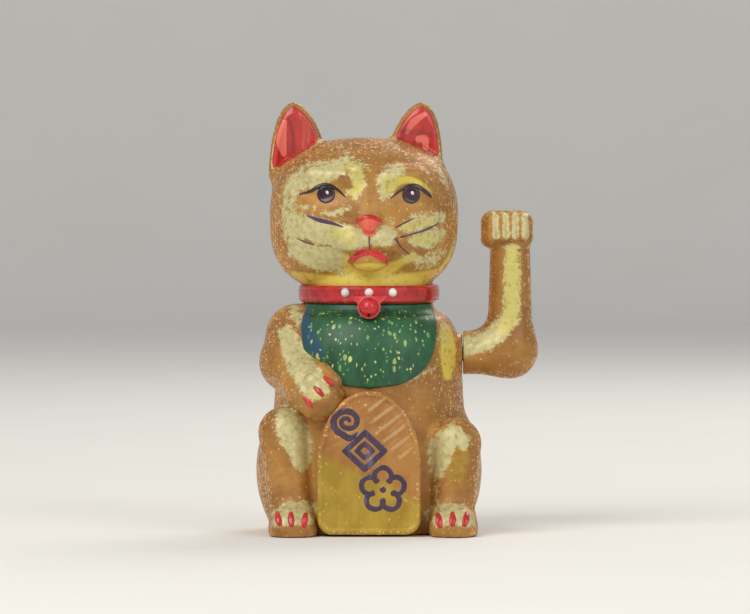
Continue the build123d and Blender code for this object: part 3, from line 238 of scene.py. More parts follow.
def face(p):
    """The head with its muzzle, chin, brows and nose."""
    shape = skull(p)
    for centre, half in CHEEKS:
        shape = join(shape, ellipsoid(p, centre, half), 7.0)
    for side in (1, -1):
        shape = join(shape, ellipsoid(p, (side * PAD_AT[0], *PAD_AT[1:]), PAD_HALF), 2.6)
        ends = [(side * x + shift, y, z) for (x, y, z), shift in ((BROW_IN, -0.6), (BROW_OUT, -1.4))]
        shape = join(shape, round_cone(p, ends[0], 3.0, ends[1], 2.4), 7.0)
        shape = cut(shape, ellipsoid(p, (side * EYE_X, SOCKET_Y, EYE_Z + 0.1), SOCKET_HALF), 5.0)
        shape = join(shape, ellipsoid(p, (side * EYE_X, BALL_Y, EYE_Z - 0.1), BALL_HALF), 2.2)
    shape = join(shape, ellipsoid(p, CHIN_AT, CHIN_HALF), 4.0)
    shape = join(shape, round_cone(p, *BRIDGE), 7.0)
    nose = join(round_cone(p, *NOSE_BAR), ellipsoid(p, *NOSE_TIP), 2.0)
    return join(shape, nose, 0.9)


def off_pivot(p):
    """How far points are from the axis that the raised arm turns about."""
    return np.hypot(p[:, 1], p[:, 2] - PIVOT_Z)


def figure(p, detail=True):
    """The outside of the whole body, without the raised arm."""
    shape = torso(p)
    for side in (1, -1):
        shape = join(shape, leg(p, side, detail), 3.5 if detail else 0.5)
    shape = join(shape, low_arm(p, detail), 3.0 if detail else 0.5)
    shape = join(shape, round_cone(p, *TAIL), 3.0)
    seat = np.maximum(off_pivot(p) - SEAT_R, p[:, 0] - SEAT_X)
    shape = join(shape, np.maximum(seat, SOCKET_FROM_X - p[:, 0]), 1.2)
    swing = np.maximum(off_pivot(p) - UPPER_R - SWING_ROOM, SEAT_X - p[:, 0])
    shape = cut(shape, swing, 0.3)
    shape = join(shape, face(p), 2.0)
    for which in (0, 1):
        dish = np.maximum(ear_shape(p, which, EAR_RIM, DISH_FORWARD), 1.0 - skull(p))
        shape = join(shape, cut(ear_shape(p, which), dish, 0.8), 3.2)
    return np.maximum(shape, RIM_Z - p[:, 2])


def bosses(p):
    """The screw bosses that stand inside the rim."""
    level = np.maximum(p[:, 2] - BOSS_TOP, 3.6 - p[:, 2])
    shapes = [np.maximum(np.hypot(p[:, 0] - x, p[:, 1] - y) - BOSS_R, level) for x, y in SCREW_PLACES]
    return np.min(shapes, axis=0)


def hollow(p):
    """The space inside the body shells, the thickness of the wall inside their outside."""
    head = np.minimum(skull(p), ellipsoid(p, *CHEEKS[0]))
    head = np.minimum(head, ellipsoid(p, *CHEEKS[1])) + WALL
    head = np.maximum(head, HOLLOW_FRONT_Y - p[:, 1])
    limbs = join(leg(p, 1, False), leg(p, -1, False), 2.0)
    limbs = join(limbs, low_arm(p, False), 2.0) + WALL + LIMB_EXTRA
    limbs = np.maximum(limbs, HOLLOW_FROM_Z - p[:, 2])
    sloping = smooth_step(p[:, 2], 88.0, 95.0) * (1 - smooth_step(p[:, 2], 103.0, 107.0))
    trunk = torso(p) + WALL + SHOULDER_EXTRA * sloping
    return join(join(head, trunk, 2.0), limbs, 2.0)


def shoulder_hole(p):
    return np.maximum(off_pivot(p) - SHOULDER_HOLE_R, SOCKET_FROM_X - p[:, 0])


def body_wall(p):
    wall = cut(figure(p), hollow(p), 0.2)
    return join(cut(wall, shoulder_hole(p), 0.5), bosses(p), 1.0)


def raised_arm(p):
    """Upper arm, elbow, forearm and a closed paw with four fingers."""
    upper = round_cone(p, (ARM_ROOT_X - 6, 0.0, PIVOT_Z), UPPER_R, ELBOW, ELBOW_R)
    shape = join(upper, round_cone(p, ELBOW, ELBOW_R, WRIST, WRIST_R), 9.0)
    shape = join(shape, round_box(p, PALM_LOW, PALM_HIGH, PALM_CORNER), 1.4)
    for finger in range(4):
        x = FINGER_FIRST_X + finger * FINGER_APART
        top = (x, FINGER_Y[0], FINGER_TOP_Z - 0.5 * (finger == 3))
        tip = (x, FINGER_Y[1], FINGER_TIP_Z + 0.4 * finger)
        shape = join(shape, round_cone(p, top, FINGER_R[0], tip, FINGER_R[1]), 0.7)
    shape = join(shape, round_cone(p, *THUMB), 1.2)
    return np.maximum(shape, ARM_ROOT_X - p[:, 0])


def arm_hollow(p):
    """The space inside the raised arm, with the bore for the hub's spigot."""
    upper = off_pivot(p) - UPPER_R + ARM_WALL
    upper = np.maximum(upper, ARM_ROOT_X + ARM_ROOT_WALL - p[:, 0])
    upper = np.maximum(upper, p[:, 0] - ELBOW[0])
    fore = round_cone(p, ELBOW, ELBOW_R - ARM_WALL, WRIST, WRIST_R - ARM_WALL)
    spigot = np.maximum(off_pivot(p) - SPIGOT_R, p[:, 0] - SPIGOT_END_X)
    return np.minimum(np.minimum(upper, fore), spigot)


def arm_wall(p):
    return cut(raised_arm(p), arm_hollow(p), 0.2)


def coin_outline(x, z):
    """Signed distance to the coin's outline: arched top, rounded lower corners."""
    over = z - COIN_SHOULDER_Z
    tall = COIN_Z[1] - COIN_SHOULDER_Z
    level = np.hypot(x / COIN_HALF, over / tall)
    steep = np.hypot(x / COIN_HALF**2, over / tall**2)
    arch = level * (level - 1) / np.maximum(steep, 1e-6)
    side = np.abs(x) - COIN_HALF + COIN_CORNER
    below = COIN_Z[0] + COIN_CORNER - z
    corner = np.hypot(np.maximum(side, 0), np.maximum(below, 0)) + np.minimum(np.maximum(side, below), 0)
    return np.where(over > 0, arch, corner - COIN_CORNER)


def coin(p):
    """The coin: a raised rim round a field of slanting chisel strokes."""
    x, y, z = p.T
    outline = coin_outline(x, z)
    ramp = smooth_step(outline, -2.9, -1.9)
    slant = (z * SLANT[0] + x * SLANT[1] + 0.8 * np.sin(x * 0.31)) / CHISEL_APART
    run = np.floor(slant)
    along = x * SLANT[0] - z * SLANT[1] + run * 7.3
    across = np.abs(slant - run - 0.5) * 2
    beat = 0.5 + 0.5 * np.cos(along * 2 * math.pi / CHISEL_LONG)
    dent = CHISEL_DEEP * (1 - smooth_step(across, 0.15, 0.75)) * smooth_step(beat, 0.18, 0.5)
    field = FIELD_DEEP + dent * smooth_step(z, 34.0, 42.0)
    front = COIN_FRONT_Y + field * (1 - ramp)
    rounded = np.maximum(outline, -COIN_BEVEL)
    bevel = COIN_BEVEL - np.sqrt(np.maximum(COIN_BEVEL**2 - (rounded + COIN_BEVEL) ** 2, 0))
    shape = np.maximum(outline, front + bevel * ramp - y)
    shape = np.maximum(shape, np.maximum(-(torso(p) - GLUE), y - COIN_BACK_Y))
    return cut(shape, np.minimum(low_arm(p, True), leg(p, -1, False)) - 0.2, 0.3)


def bib_outline(x, z):
    """Signed distance to the edge of the bib, roughly, in the front view."""
    edge = smooth_curve(BIB_EDGE)
    half = np.interp(z, edge[::-1, 0], edge[::-1, 1], left=0.0)
    slope = np.abs(np.gradient(edge[:, 1], edge[:, 0]))
    flat = np.interp(z, edge[::-1, 0], slope[::-1])
    ends = np.maximum(BIB_EDGE[-1][0] - z, z - BIB_EDGE[0][0])
    return np.maximum((np.abs(x) - half) / np.sqrt(1 + flat**2), ends)


def bib(p):
    skin = torso(p) - GLUE - BIB_THICK
    shape = join_inside(skin, bib_outline(p[:, 0], p[:, 2]), 1.0)
    shape = np.maximum(shape, -(torso(p) + 0.3))
    shape = np.maximum(shape, p[:, 1] + 5)
    return cut(shape, low_arm(p, True) - 0.25, 0.6)


# ---- meshes from fields -------------------------------------------------------------------------
def gradient(field, p, step=0.05):
    out = np.empty_like(p)
    for axis in range(3):
        shift = np.zeros(3)
        shift[axis] = step
        out[:, axis] = (field(p + shift) - field(p - shift)) / (2 * step)
    return out


def settle(field, p, rounds=3, reach=1.5):
    """Moves points onto the surface of a field."""
    start = p.copy()
    for _ in range(rounds):
        slope = gradient(field, p)
        square = np.maximum(np.einsum("ij,ij->i", slope, slope), 0.05)
        p = p - slope * (field(p) / square)[:, None]
    strayed = np.linalg.norm(p - start, axis=1) > reach
    p[strayed] = start[strayed]
    return p


def surface_net(field, low, high, cell):
    """Quads over the surface of a field inside a box."""
    low = np.asarray(low, float)
    counts = np.ceil(np.subtract(high, low) / cell).astype(int) + 1
    axes = [low[i] + cell * np.arange(counts[i]) for i in range(3)]
    values = np.empty(counts, np.float32)
    for k in range(0, counts[2], 10):
        block = np.meshgrid(axes[0], axes[1], axes[2][k : k + 10], indexing="ij")
        points = np.stack(block, -1).reshape(-1, 3)
        values[:, :, k : k + 10] = field(points).reshape(block[0].shape)
    inside = values < 0
    corners = np.array([(i, j, k) for i in (0, 1) for j in (0, 1) for k in (0, 1)])
    n = counts - 1
    total = sum(inside[i : i + n[0], j : j + n[1], k : k + n[2]].astype(np.int8) for i, j, k in corners)
    cells = np.argwhere((total > 0) & (total < 8))
    place, found = np.zeros((len(cells), 3)), np.zeros(len(cells))
    for a in corners:
        for axis in np.flatnonzero(a == 0):
            b = a.copy()
            b[axis] = 1
            va, vb = values[tuple((cells + a).T)], values[tuple((cells + b).T)]
            crossing = (va < 0) != (vb < 0)
            share = np.where(crossing, va / np.where(crossing, va - vb, 1), 0)
            place += crossing[:, None] * (a + share[:, None] * (b - a))
            found += crossing
    place = low + cell * (cells + place / found[:, None])
    index = np.full(n, -1)
    index[tuple(cells.T)] = np.arange(len(cells))
    quads = []
    for axis in range(3):
        u, v = (axis + 1) % 3, (axis + 2) % 3
        step = np.zeros(3, int)
        step[axis] = 1
        near = inside[: n[0], : n[1], : n[2]]
        far = inside[step[0] : step[0] + n[0], step[1] : step[1] + n[1], step[2] : step[2] + n[2]]
        edges = np.argwhere(near != far)
        edges = edges[(edges[:, u] > 0) & (edges[:, v] > 0)]
        outward = near[tuple(edges.T)]
        back_u, back_v = np.eye(3, dtype=int)[u], np.eye(3, dtype=int)[v]
        ring = [edges - back_u - back_v, edges - back_v, edges, edges - back_u]
        quad = np.stack([index[tuple(c.T)] for c in ring], 1)
        quad[~outward] = quad[~outward][:, ::-1]
        quads.append(quad[(quad >= 0).all(axis=1)])
    return place, np.vstack(quads)


def to_bmesh(points, faces):
    mesh = bpy.data.meshes.new("draft")
    mesh.from_pydata(points.tolist(), [], faces.tolist())
    bm = bmesh.new()
    bm.from_mesh(mesh)
    bpy.data.meshes.remove(mesh)
    return bm


def positions(bm):
    return np.array([v.co[:] for v in bm.verts])


def place_all(bm, points):
    for vertex, point in zip(bm.verts, points):
        vertex.co = point


def refine(bm, wanted):
    """Splits the faces whose middle is in a wanted region into four."""
    middles = np.array([f.calc_center_median()[:] for f in bm.faces])
    chosen = wanted(middles)
    edges = {e for f, keep in zip(bm.faces, chosen) if keep for e in f.edges}
    bmesh.ops.subdivide_edges(bm, edges=list(edges), cuts=1, use_grid_fill=True)


def within(faces, fixed):
    """The triangles inside closed outlines: each fixed edge that is crossed turns in to out."""
    beside = {}
    rings = [[tuple(sorted(pair)) for pair in zip(face, face[1:] + face[:1])] for face in faces]
    for number, ring in enumerate(rings):
        for edge in ring:
            beside.setdefault(edge, []).append(number)
    inside = {}
    for edge, owners in beside.items():
        if len(owners) == 1:
            inside.setdefault(owners[0], edge in fixed)
    queue = list(inside)
    while queue:
        number = queue.pop()
        for edge in rings[number]:
            for other in beside[edge]:
                if other not in inside:
                    inside[other] = inside[number] != (edge in fixed)
                    queue.append(other)
    return [face for number, face in enumerate(faces) if inside.get(number)]


def half_of(bm, front, outer):
    """One half of a welded shell: cut at the parting, closed there, with a fine bevel outside."""
    half = bm.copy()
    turn = -1 if front else 1
    beside = [f for f in half.faces if any(abs(v.co.y) < 1.5 for v in f.verts)]
    bmesh.ops.triangulate(half, faces=beside)
    for depth in (0.42, SEAM):
        everything = list(half.verts) + list(half.edges) + list(half.faces)
        cut_here = bmesh.ops.bisect_plane(
            half, geom=everything, plane_co=(0, turn * depth, 0), plane_no=(0, -turn, 0),
            clear_outer=depth == SEAM,
        )["geom_cut"]
    verts = [v for v in cut_here if isinstance(v, bmesh.types.BMVert)]
    bmesh.ops.remove_doubles(half, verts=verts, dist=0.02)
    rim = [e for e in half.edges if e.is_boundary]
    verts = list({v for e in rim for v in e.verts})
    index = {v: i for i, v in enumerate(verts)}
    flat = [Vector((v.co.x, v.co.z)) for v in verts]
    lines = [(index[e.verts[0]], index[e.verts[1]]) for e in rim]
    _, edges, faces, sources, origins, _ = delaunay_2d_cdt(flat, lines, [], 0, 1e-6)
    fixed = {tuple(sorted(edge)) for edge, origin in zip(edges, origins) if len(origin) % 2}
    for face in within([list(face) for face in faces], fixed):
        corners = [verts[sources[i][0]] for i in face if sources[i]]
        if len(set(corners)) == 3:
            half.faces.new(corners[::-1] if front else corners)
    bmesh.ops.holes_fill(half, edges=[e for e in half.edges if e.is_boundary], sides=8)
    points = np.array([v.co[:] for v in verts])
    slope = gradient(outer, points)
    slope /= np.maximum(np.linalg.norm(slope, axis=1), 1e-6)[:, None]
    depth = np.where(np.abs(outer(points)) < 0.4, 0.2, 0.0)
    for vertex, move in zip(verts, slope * depth[:, None]):
        vertex.co.x -= move[0]
        vertex.co.z -= move[2]
    return half


def finish_mesh(name, bm, material, sharp=38):
    """Makes an object, in metres, with smooth faces and sharp corners where they turn."""
    bmesh.ops.scale(bm, vec=(MM, MM, MM), verts=bm.verts)
    mesh = bpy.data.meshes.new(name)
    bm.to_mesh(mesh)
    bm.free()
    mesh.shade_smooth()
    mesh.set_sharp_from_angle(angle=math.radians(sharp))
    piece = bpy.data.objects.new(name, mesh)
    bpy.context.scene.collection.objects.link(piece)
    mesh.materials.append(material)
    return piece


def write_masks(piece, masks):
    """Stores three masks at each point; on the gold they mark the pale painted highlights, the glitter with
    its painted glints, and the yellow paint, which is mostly painted highlights.
    """
    mesh = piece.data
    points = np.empty(len(mesh.vertices) * 3)
    mesh.vertices.foreach_get("co", points)
    normals = np.empty(len(mesh.vertices) * 3)
    mesh.vertices.foreach_get("normal", normals)
    values = masks(points.reshape(-1, 3) / MM, normals.reshape(-1, 3))
    layer = mesh.color_attributes.new("masks", "FLOAT_COLOR", "POINT")
    layer.data.foreach_set("color", np.hstack([values, np.ones((len(values), 1))]).ravel())


# ---- the front view -----------------------------------------------------------------------------
def seen(p):
    """Where points show from the camera, on the upright plane through the cat's axis."""
    q = p - VIEW_MIDDLE
    scale = VIEW_REACH / (VIEW_REACH - q @ VIEW_BACK)
    return VIEW_MIDDLE[0] + q[:, 0] * scale, VIEW_MIDDLE[2] + (q @ VIEW_UP) * scale


def lay_on(field, x, up):
    """The points of a surface that show at these places in the front view."""
    eye = VIEW_MIDDLE + VIEW_BACK * VIEW_REACH
    target = VIEW_MIDDLE + np.outer(up - VIEW_MIDDLE[2], VIEW_UP)
    target[:, 0] = x
    along = (target - eye) / np.linalg.norm(target - eye, axis=1)[:, None]
    reach = np.full(len(x), VIEW_REACH - 80.0)
    for _ in range(46):
        p = eye + along * reach[:, None]
        reach = reach + np.clip(field(p), -2.0, 4.0) * 0.85
    return p


def stroke(path, radii, smooth=True):
    """A brush stroke: a function giving the signed distance to a line of changing width."""
    line = np.column_stack([np.asarray(path, float), np.asarray(radii, float)])
    line = smooth_curve(line, 6) if smooth and len(line) > 2 else line

    def distance(x, up):
        best = np.full(x.shape, 1e9)
        for a, b in zip(line[:-1], line[1:]):
            run = b[:2] - a[:2]
            share = ((x - a[0]) * run[0] + (up - a[1]) * run[1]) / max(run @ run, 1e-9)
            share = np.clip(share, 0, 1)
            off = np.hypot(x - a[0] - share * run[0], up - a[1] - share * run[1])
            best = np.minimum(best, off - (a[2] + share * (b[2] - a[2])))
        return best

    distance.low = line[:, :2].min(axis=0) - line[:, 2].max() - 0.6
    distance.high = line[:, :2].max(axis=0) + line[:, 2].max() + 0.6
    return distance


def several(*shapes):
    def distance(x, up):
        return np.min([shape(x, up) for shape in shapes], axis=0)

    distance.low = np.min([s.low for s in shapes], axis=0)
    distance.high = np.max([s.high for s in shapes], axis=0)
    return distance


def boxed(function, low, high):
    function.low, function.high = np.array(low), np.array(high)
    return function


def paint(name, shape, field, material, lift=0.16, step=0.3, masks=None, only=None):
    """A skin of paint on a surface: thickest in its middle, and sunk out of sight past its edge.

    It is left out where the line of sight misses the surface, and where only(points) is positive.
    """
    step = step * 1.0
    xs = np.arange(shape.low[0], shape.high[0] + step, step)
    ups = np.arange(shape.low[1], shape.high[1] + step, step)
    x, up = np.meshgrid(xs, ups, indexing="ij")
    off = shape(x.ravel(), up.ravel())
    keep = off < 0.55
    index = np.full(len(keep), -1)
    index[keep] = np.arange(keep.sum())
    p = lay_on(field, x.ravel()[keep], up.ravel()[keep])
    landed = np.abs(field(p)) < 0.2
    if only:
        landed &= only(p) < 0
    slope = gradient(field, p)
    slope /= np.maximum(np.linalg.norm(slope, axis=1), 1e-6)[:, None]
    height = lift * (1 - smooth_step(off[keep], -0.5, 0.0)) - 0.25 * smooth_step(off[keep], -0.05, 0.45)
    p = p + slope * height[:, None]
    index = index.reshape(x.shape)
    quads = np.stack([index[:-1, :-1], index[1:, :-1], index[1:, 1:], index[:-1, 1:]], -1).reshape(-1, 4)
    quads = quads[(quads >= 0).all(axis=1)]
    quads = quads[landed[quads].all(axis=1)]
    spans = np.ptp(p[quads][:, :, 1], axis=1)
    bm = to_bmesh(p, quads[spans < 4.0])
    loose = [v for v in bm.verts if not v.link_faces]
    bmesh.ops.delete(bm, geom=loose, context="VERTS")
    piece = finish_mesh(name, bm, material, 60)
    if masks:
        write_masks(piece, masks)
    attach(piece, "figure")
    return piece


# ---- materials ----------------------------------------------------------------------------------
FACTOR, FIRST, SECOND, MIXED = 0, 6, 7, 2  # the colour sockets of a Mix node


class Shader:
    """A short way to wire up a principled material."""

    def __init__(self, name, **settings):
        self.material = bpy.data.materials.new(name)
        self.material.use_nodes = True
        self.tree = self.material.node_tree
        self.surface = self.tree.nodes["Principled BSDF"]
        self.where = self.node("TexCoord").outputs["Object"]
        for key, value in settings.items():
            self.surface.inputs[key.replace("_", " ")].default_value = value

    def node(self, kind, **inputs):
        node = self.tree.nodes.new("ShaderNode" + kind)
        for key, value in inputs.items():
            self.feed(node.inputs[key], value)
        return node

    def feed(self, socket, value):
        if isinstance(value, bpy.types.NodeSocket):
            self.tree.links.new(value, socket)
        elif isinstance(value, tuple) and len(value) == 3 and socket.type == "RGBA":
            socket.default_value = (*value, 1)
        else:
            socket.default_value = value

    def noise(self, scale, detail=4.0, rough=0.55, stretch=None, seed=0.0):
        place = self.where
        if stretch:
            place = self.node("Mapping", Vector=place, Scale=stretch, Location=(seed, seed, seed))
            place = place.outputs["Vector"]
        made = self.node("TexNoise", Vector=place, Scale=scale, Detail=detail, Roughness=rough)
        return made.outputs["Fac"]

    def flakes(self, scale, seed=0.0):
        """A random value from 0 to 1 for each small cell, and how near the cell's middle is."""
        place = self.node("Mapping", Vector=self.where, Location=(seed, seed, seed)).outputs["Vector"]
        made = self.node("TexVoronoi", Vector=place, Scale=scale)
        value = self.node("SeparateColor", Color=made.outputs["Color"]).outputs["Red"]
        return value, made.outputs["Distance"]

    def ramp(self, value, low, high, to_low=0.0, to_high=1.0):
        made = self.tree.nodes.new("ShaderNodeMapRange")
        made.interpolation_type = "SMOOTHSTEP"
        for key, number in zip(("Value", "From Min", "From Max", "To Min", "To Max"),
                               (value, low, high, to_low, to_high)):
            self.feed(made.inputs[key], number)
        return made.outputs["Result"]

    def math(self, operation, a, b):
        made = self.tree.nodes.new("ShaderNodeMath")
        made.operation = operation
        self.feed(made.inputs[0], a)
        self.feed(made.inputs[1], b)
        return made.outputs["Value"]

    def times(self, a, b):
        return self.math("MULTIPLY", a, b)

    def plus(self, a, b):
        return self.math("ADD", a, b)

    def minus(self, a, b):
        return self.math("SUBTRACT", a, b)

    def mix(self, factor, a, b):
        made = self.tree.nodes.new("ShaderNodeMix")
        made.data_type = "RGBA"
        self.feed(made.inputs[FACTOR], factor)
        self.feed(made.inputs[FIRST], a)
        self.feed(made.inputs[SECOND], b)
        return made.outputs[MIXED]

    def bump(self, height, strength, distance):
        made = self.node("Bump", Height=height, Strength=strength, Distance=distance)
        self.feed(self.surface.inputs["Normal"], made.outputs["Normal"])

    def masks(self):
        read = self.tree.nodes.new("ShaderNodeAttribute")
        read.attribute_name = "masks"
        parts = self.node("SeparateColor", Color=read.outputs["Color"])
        return [parts.outputs[key] for key in ("Red", "Green", "Blue")]

    def done(self, color, roughness=None):
        self.feed(self.surface.inputs["Base Color"], color)
        if roughness is not None:
            self.feed(self.surface.inputs["Roughness"], roughness)
        return self.material


def srgb(red, green, blue):
    """A colour from 0 to 255 per channel, as light."""
    parts = (value / 255 for value in (red, green, blue))
    return tuple(v / 12.92 if v <= 0.04045 else ((v + 0.055) / 1.055) ** 2.4 for v in parts)


# Pale is the colour of the painted highlights on the gold; yellow and olive are the yellow paint, which is
# mostly painted highlights.
PALE, YELLOW, OLIVE = srgb(212, 206, 150), srgb(226, 204, 84), srgb(176, 146, 44)
# The bright flake colour is a painted glint; the darkest brown is painted shade on the sides.
GLINT_FLAKE, DEEP, BROWN, SHADE_BROWN = srgb(246, 192, 128), srgb(146, 96, 38), srgb(184, 132, 58), srgb(120, 78, 36)


def glitter_gold(name):
    """Gold lacquer over brown, full of flakes, with pale and yellow painted highlights sponged on, bright
    flakes as painted glints, and dark flecks that thicken into painted shade at the sides.
    """
    s = Shader(name, Metallic=0.22, Coat_Weight=0.18, Coat_Roughness=0.22, Specular_IOR_Level=0.45)
    # The masks: pale painted highlights, glitter with painted glints, and the yellow paint.
    pale, glitter_and_glints, yellow = s.masks()
    cloud = s.noise(48.0, 5.0, 0.6)
    fine = s.noise(1500.0, 3.0, 0.6)
    dabs = s.noise(420.0, 5.0, 0.65)
    swept = s.noise(150.0, 5.0, 0.6, (0.4, 1.0, 1.5), 2.4)
    color = s.mix(s.ramp(cloud, 0.3, 0.72), DEEP, BROWN)
    color = s.mix(s.ramp(swept, 0.5, 0.8, 0.0, 0.42), color, srgb(206, 160, 92))
    color = s.mix(s.ramp(dabs, 0.45, 0.75, 0.0, 0.5), color, srgb(166, 126, 78))
    grit, near = s.flakes(1150.0)
    large, near_large = s.flakes(640.0, 3.1)
    sponge = s.plus(s.times(fine, 1.0), s.times(dabs, 1.5))
    sponge = s.plus(sponge, s.times(grit, 0.22))
    sponge = s.minus(sponge, 1.36)
    # Yellow paint, sponged on: painted highlights, and a yellow-olive band under the chin; olive where the
    # mask is weak.
    yellow_here = s.ramp(s.plus(yellow, sponge), 0.26, 0.6)
    tone = s.mix(s.ramp(yellow, 0.6, 0.95), s.mix(dabs, srgb(156, 118, 34), OLIVE), YELLOW)
    color = s.mix(s.times(yellow_here, 0.9), color, tone)
    # Pale painted highlights, sponged on, and yellower where the yellow mask is.
    pale_here = s.ramp(s.plus(pale, sponge), 0.3, 0.72)
    cream = s.mix(s.ramp(dabs, 0.3, 0.7), srgb(190, 178, 124), PALE)
    cream = s.mix(s.times(s.ramp(yellow, 0.2, 0.9), 0.62), cream, srgb(206, 194, 86))
    color = s.mix(s.times(pale_here, 0.94), color, cream)
    # Flakes lit in a bright colour: painted glints, many more where the surface turns away from the front,
    # and fewer in the pale highlights.
    shy = s.minus(0.97, s.times(glitter_and_glints, 0.46))
    shy = s.plus(shy, s.times(pale_here, 0.3))
    sparkle = s.times(s.ramp(grit, shy, s.plus(shy, 0.02)), s.ramp(near, 0.62, 0.4))
    color = s.mix(s.times(sparkle, 0.8), color, s.mix(large, srgb(214, 150, 84), GLINT_FLAKE))
    # Larger flakes in a bright colour are painted glints as well, mostly at the sides.
    rare = s.plus(s.minus(1.0, s.times(glitter_and_glints, 0.42)),
                  s.times(pale_here, 0.25))
    dab = s.times(s.ramp(large, rare, s.plus(rare, 0.02)), s.ramp(near_large, 0.5, 0.32))
    color = s.mix(s.times(dab, 0.75), color, s.mix(grit, srgb(226, 164, 98), GLINT_FLAKE))
    # Dark brown flecks everywhere, much stronger where the surface turns away from the front: painted shade
    # at the sides.
    dark = s.times(s.ramp(large, 0.14, 0.08), s.ramp(glitter_and_glints, 0.0, 1.0, 0.2, 0.5))
    color = s.mix(dark, color, SHADE_BROWN)
    s.bump(s.plus(s.times(dabs, 0.8), fine), 0.4, 0.00022)
    rough = s.minus(s.ramp(cloud, 0.2, 0.8, 0.46, 0.6), s.times(sparkle, 0.22))
    return s.done(color, rough)


def enamel(name, main, shade, light, gloss=0.3, metallic=0.0, grain=380.0):
    """Hand-brushed enamel: streaks of a darker and a lighter tone, and faint brush marks."""
    s = Shader(name, Metallic=metallic, Coat_Weight=0.3, Coat_Roughness=0.15)
    streak = s.noise(grain, 5.0, 0.6, (1.0, 1.0, 0.28), 1.7)
    patch = s.noise(grain * 0.28, 4.0, 0.6)
    color = s.mix(s.ramp(patch, 0.3, 0.7), shade, main)
    color = s.mix(s.times(s.ramp(streak, 0.52, 0.8), 0.55), color, light)
    s.bump(streak, 0.3, 0.00012)
    return s.done(color, s.ramp(patch, 0.25, 0.8, gloss - 0.05, gloss + 0.14))


def ear_red(name):
    s = Shader(name, Coat_Weight=0.4, Coat_Roughness=0.15)
    pink, _, dark = s.masks()
    brushed = s.noise(300.0, 5.0, 0.6, (1.0, 1.0, 0.22), 4.0)
    color = s.mix(s.ramp(brushed, 0.3, 0.75), srgb(164, 30, 26), srgb(206, 52, 44))
    pink_here = s.ramp(s.plus(pink, s.times(brushed, 0.5)), 0.62, 0.98)
    color = s.mix(pink_here, color, srgb(232, 112, 96))
    color = s.mix(s.times(dark, 0.7), color, srgb(112, 22, 20))
    s.bump(brushed, 0.3, 0.00012)
    return s.done(color, s.ramp(brushed, 0.2, 0.8, 0.26, 0.4))


def bib_green(name):
    """Deep green, clouded, with irregular flecks of pale green where the mask allows them."""
    s = Shader(name, Coat_Weight=0.15, Coat_Roughness=0.25)
    blue, fleck, _ = s.masks()
    cloud = s.noise(150.0, 5.0, 0.62, (1.0, 1.0, 0.4), 2.0)
    color = s.mix(s.ramp(cloud, 0.28, 0.72), srgb(14, 66, 40), srgb(32, 98, 56))
    blue_here = s.ramp(s.plus(blue, s.times(cloud, 0.5)), 0.55, 1.1)
    color = s.mix(s.times(blue_here, 0.8), color, srgb(20, 66, 98))
    drift = s.tree.nodes.new("ShaderNodeVectorMath")
    drift.operation = "MULTIPLY_ADD"
    blur = s.node("TexNoise", Vector=s.where, Scale=900.0, Detail=2.0)
    s.feed(drift.inputs[0], blur.outputs["Color"])
    s.feed(drift.inputs[1], (0.0011, 0.0011, 0.0016))
    s.feed(drift.inputs[2], s.where)
    height = s.times(cloud, 0.3)
    for scale, chance, size, squeeze in ((400.0, 0.76, 0.40, 0.55), (560.0, 0.8, 0.34, 0.9),
                                         (820.0, 0.84, 0.4, 0.5)):
        place = s.node("Mapping", Vector=drift.outputs["Vector"], Scale=(1.0, 1.0, squeeze))
        spots = s.node("TexVoronoi", Vector=place.outputs["Vector"], Scale=scale)
        luck = s.node("SeparateColor", Color=spots.outputs["Color"])
        here = s.times(s.ramp(luck.outputs["Red"], chance, chance + 0.03), fleck)
        here = s.times(here, s.ramp(spots.outputs["Distance"], size, size - 0.12))
        tone = s.mix(luck.outputs["Green"], srgb(88, 142, 78), srgb(206, 216, 128))
        color = s.mix(here, color, tone)
        height = s.plus(height, s.times(here, 0.7))
    s.bump(height, 0.5, 0.0002)
    return s.done(color, s.ramp(cloud, 0.2, 0.8, 0.42, 0.56))


def coin_gold(name):
    """Gold leaf, brown above with pale streaks and olive below."""
    s = Shader(name, Metallic=0.22, Coat_Weight=0.15, Coat_Roughness=0.25)
    pale, glitter_and_glints, olive = s.masks()
    cloud = s.noise(90.0, 5.0, 0.6, (1.0, 1.0, 0.6), 5.0)
    fine = s.noise(1100.0, 3.0)
    color = s.mix(s.ramp(cloud, 0.3, 0.75), srgb(158, 104, 46), srgb(188, 134, 66))
    lower = s.ramp(s.plus(olive, s.times(cloud, 0.5)), 0.55, 0.95)
    color = s.mix(lower, color, s.mix(s.ramp(cloud, 0.3, 0.7), srgb(160, 128, 30), srgb(188, 158, 52)))
    color = s.mix(s.times(s.ramp(s.plus(pale, fine), 0.7, 1.3), 0.7), color,
                  srgb(206, 168, 120))
    # Bright flakes are painted glints, more of them at the coin's sides and edge.
    grit, near = s.flakes(1400.0, 7.0)
    shy = s.minus(0.985, s.times(glitter_and_glints, 0.2))
    sparkle = s.ramp(grit, shy, s.plus(shy, 0.012))
    color = s.mix(s.times(sparkle, 0.7), color, GLINT_FLAKE)
    s.bump(s.plus(fine, near), 0.3, 0.00012)
    return s.done(color, s.ramp(cloud, 0.2, 0.8, 0.44, 0.58))


def moulded(name, color, lighter, gloss=0.5, grain=1600.0):
    """Moulded plastic with a fine spark-eroded grain and faint flow marks."""
    s = Shader(name, Specular_IOR_Level=0.45)
    flow = s.noise(45.0, 3.0, 0.5, (1.0, 0.35, 1.0), 3.0)
    fine = s.noise(grain, 3.0, 0.6)
    tone = s.mix(s.ramp(flow, 0.3, 0.75), color, lighter)
    s.bump(fine, 0.25, 0.00008)
    return s.done(tone, s.ramp(fine, 0.25, 0.8, gloss - 0.08, gloss + 0.1))


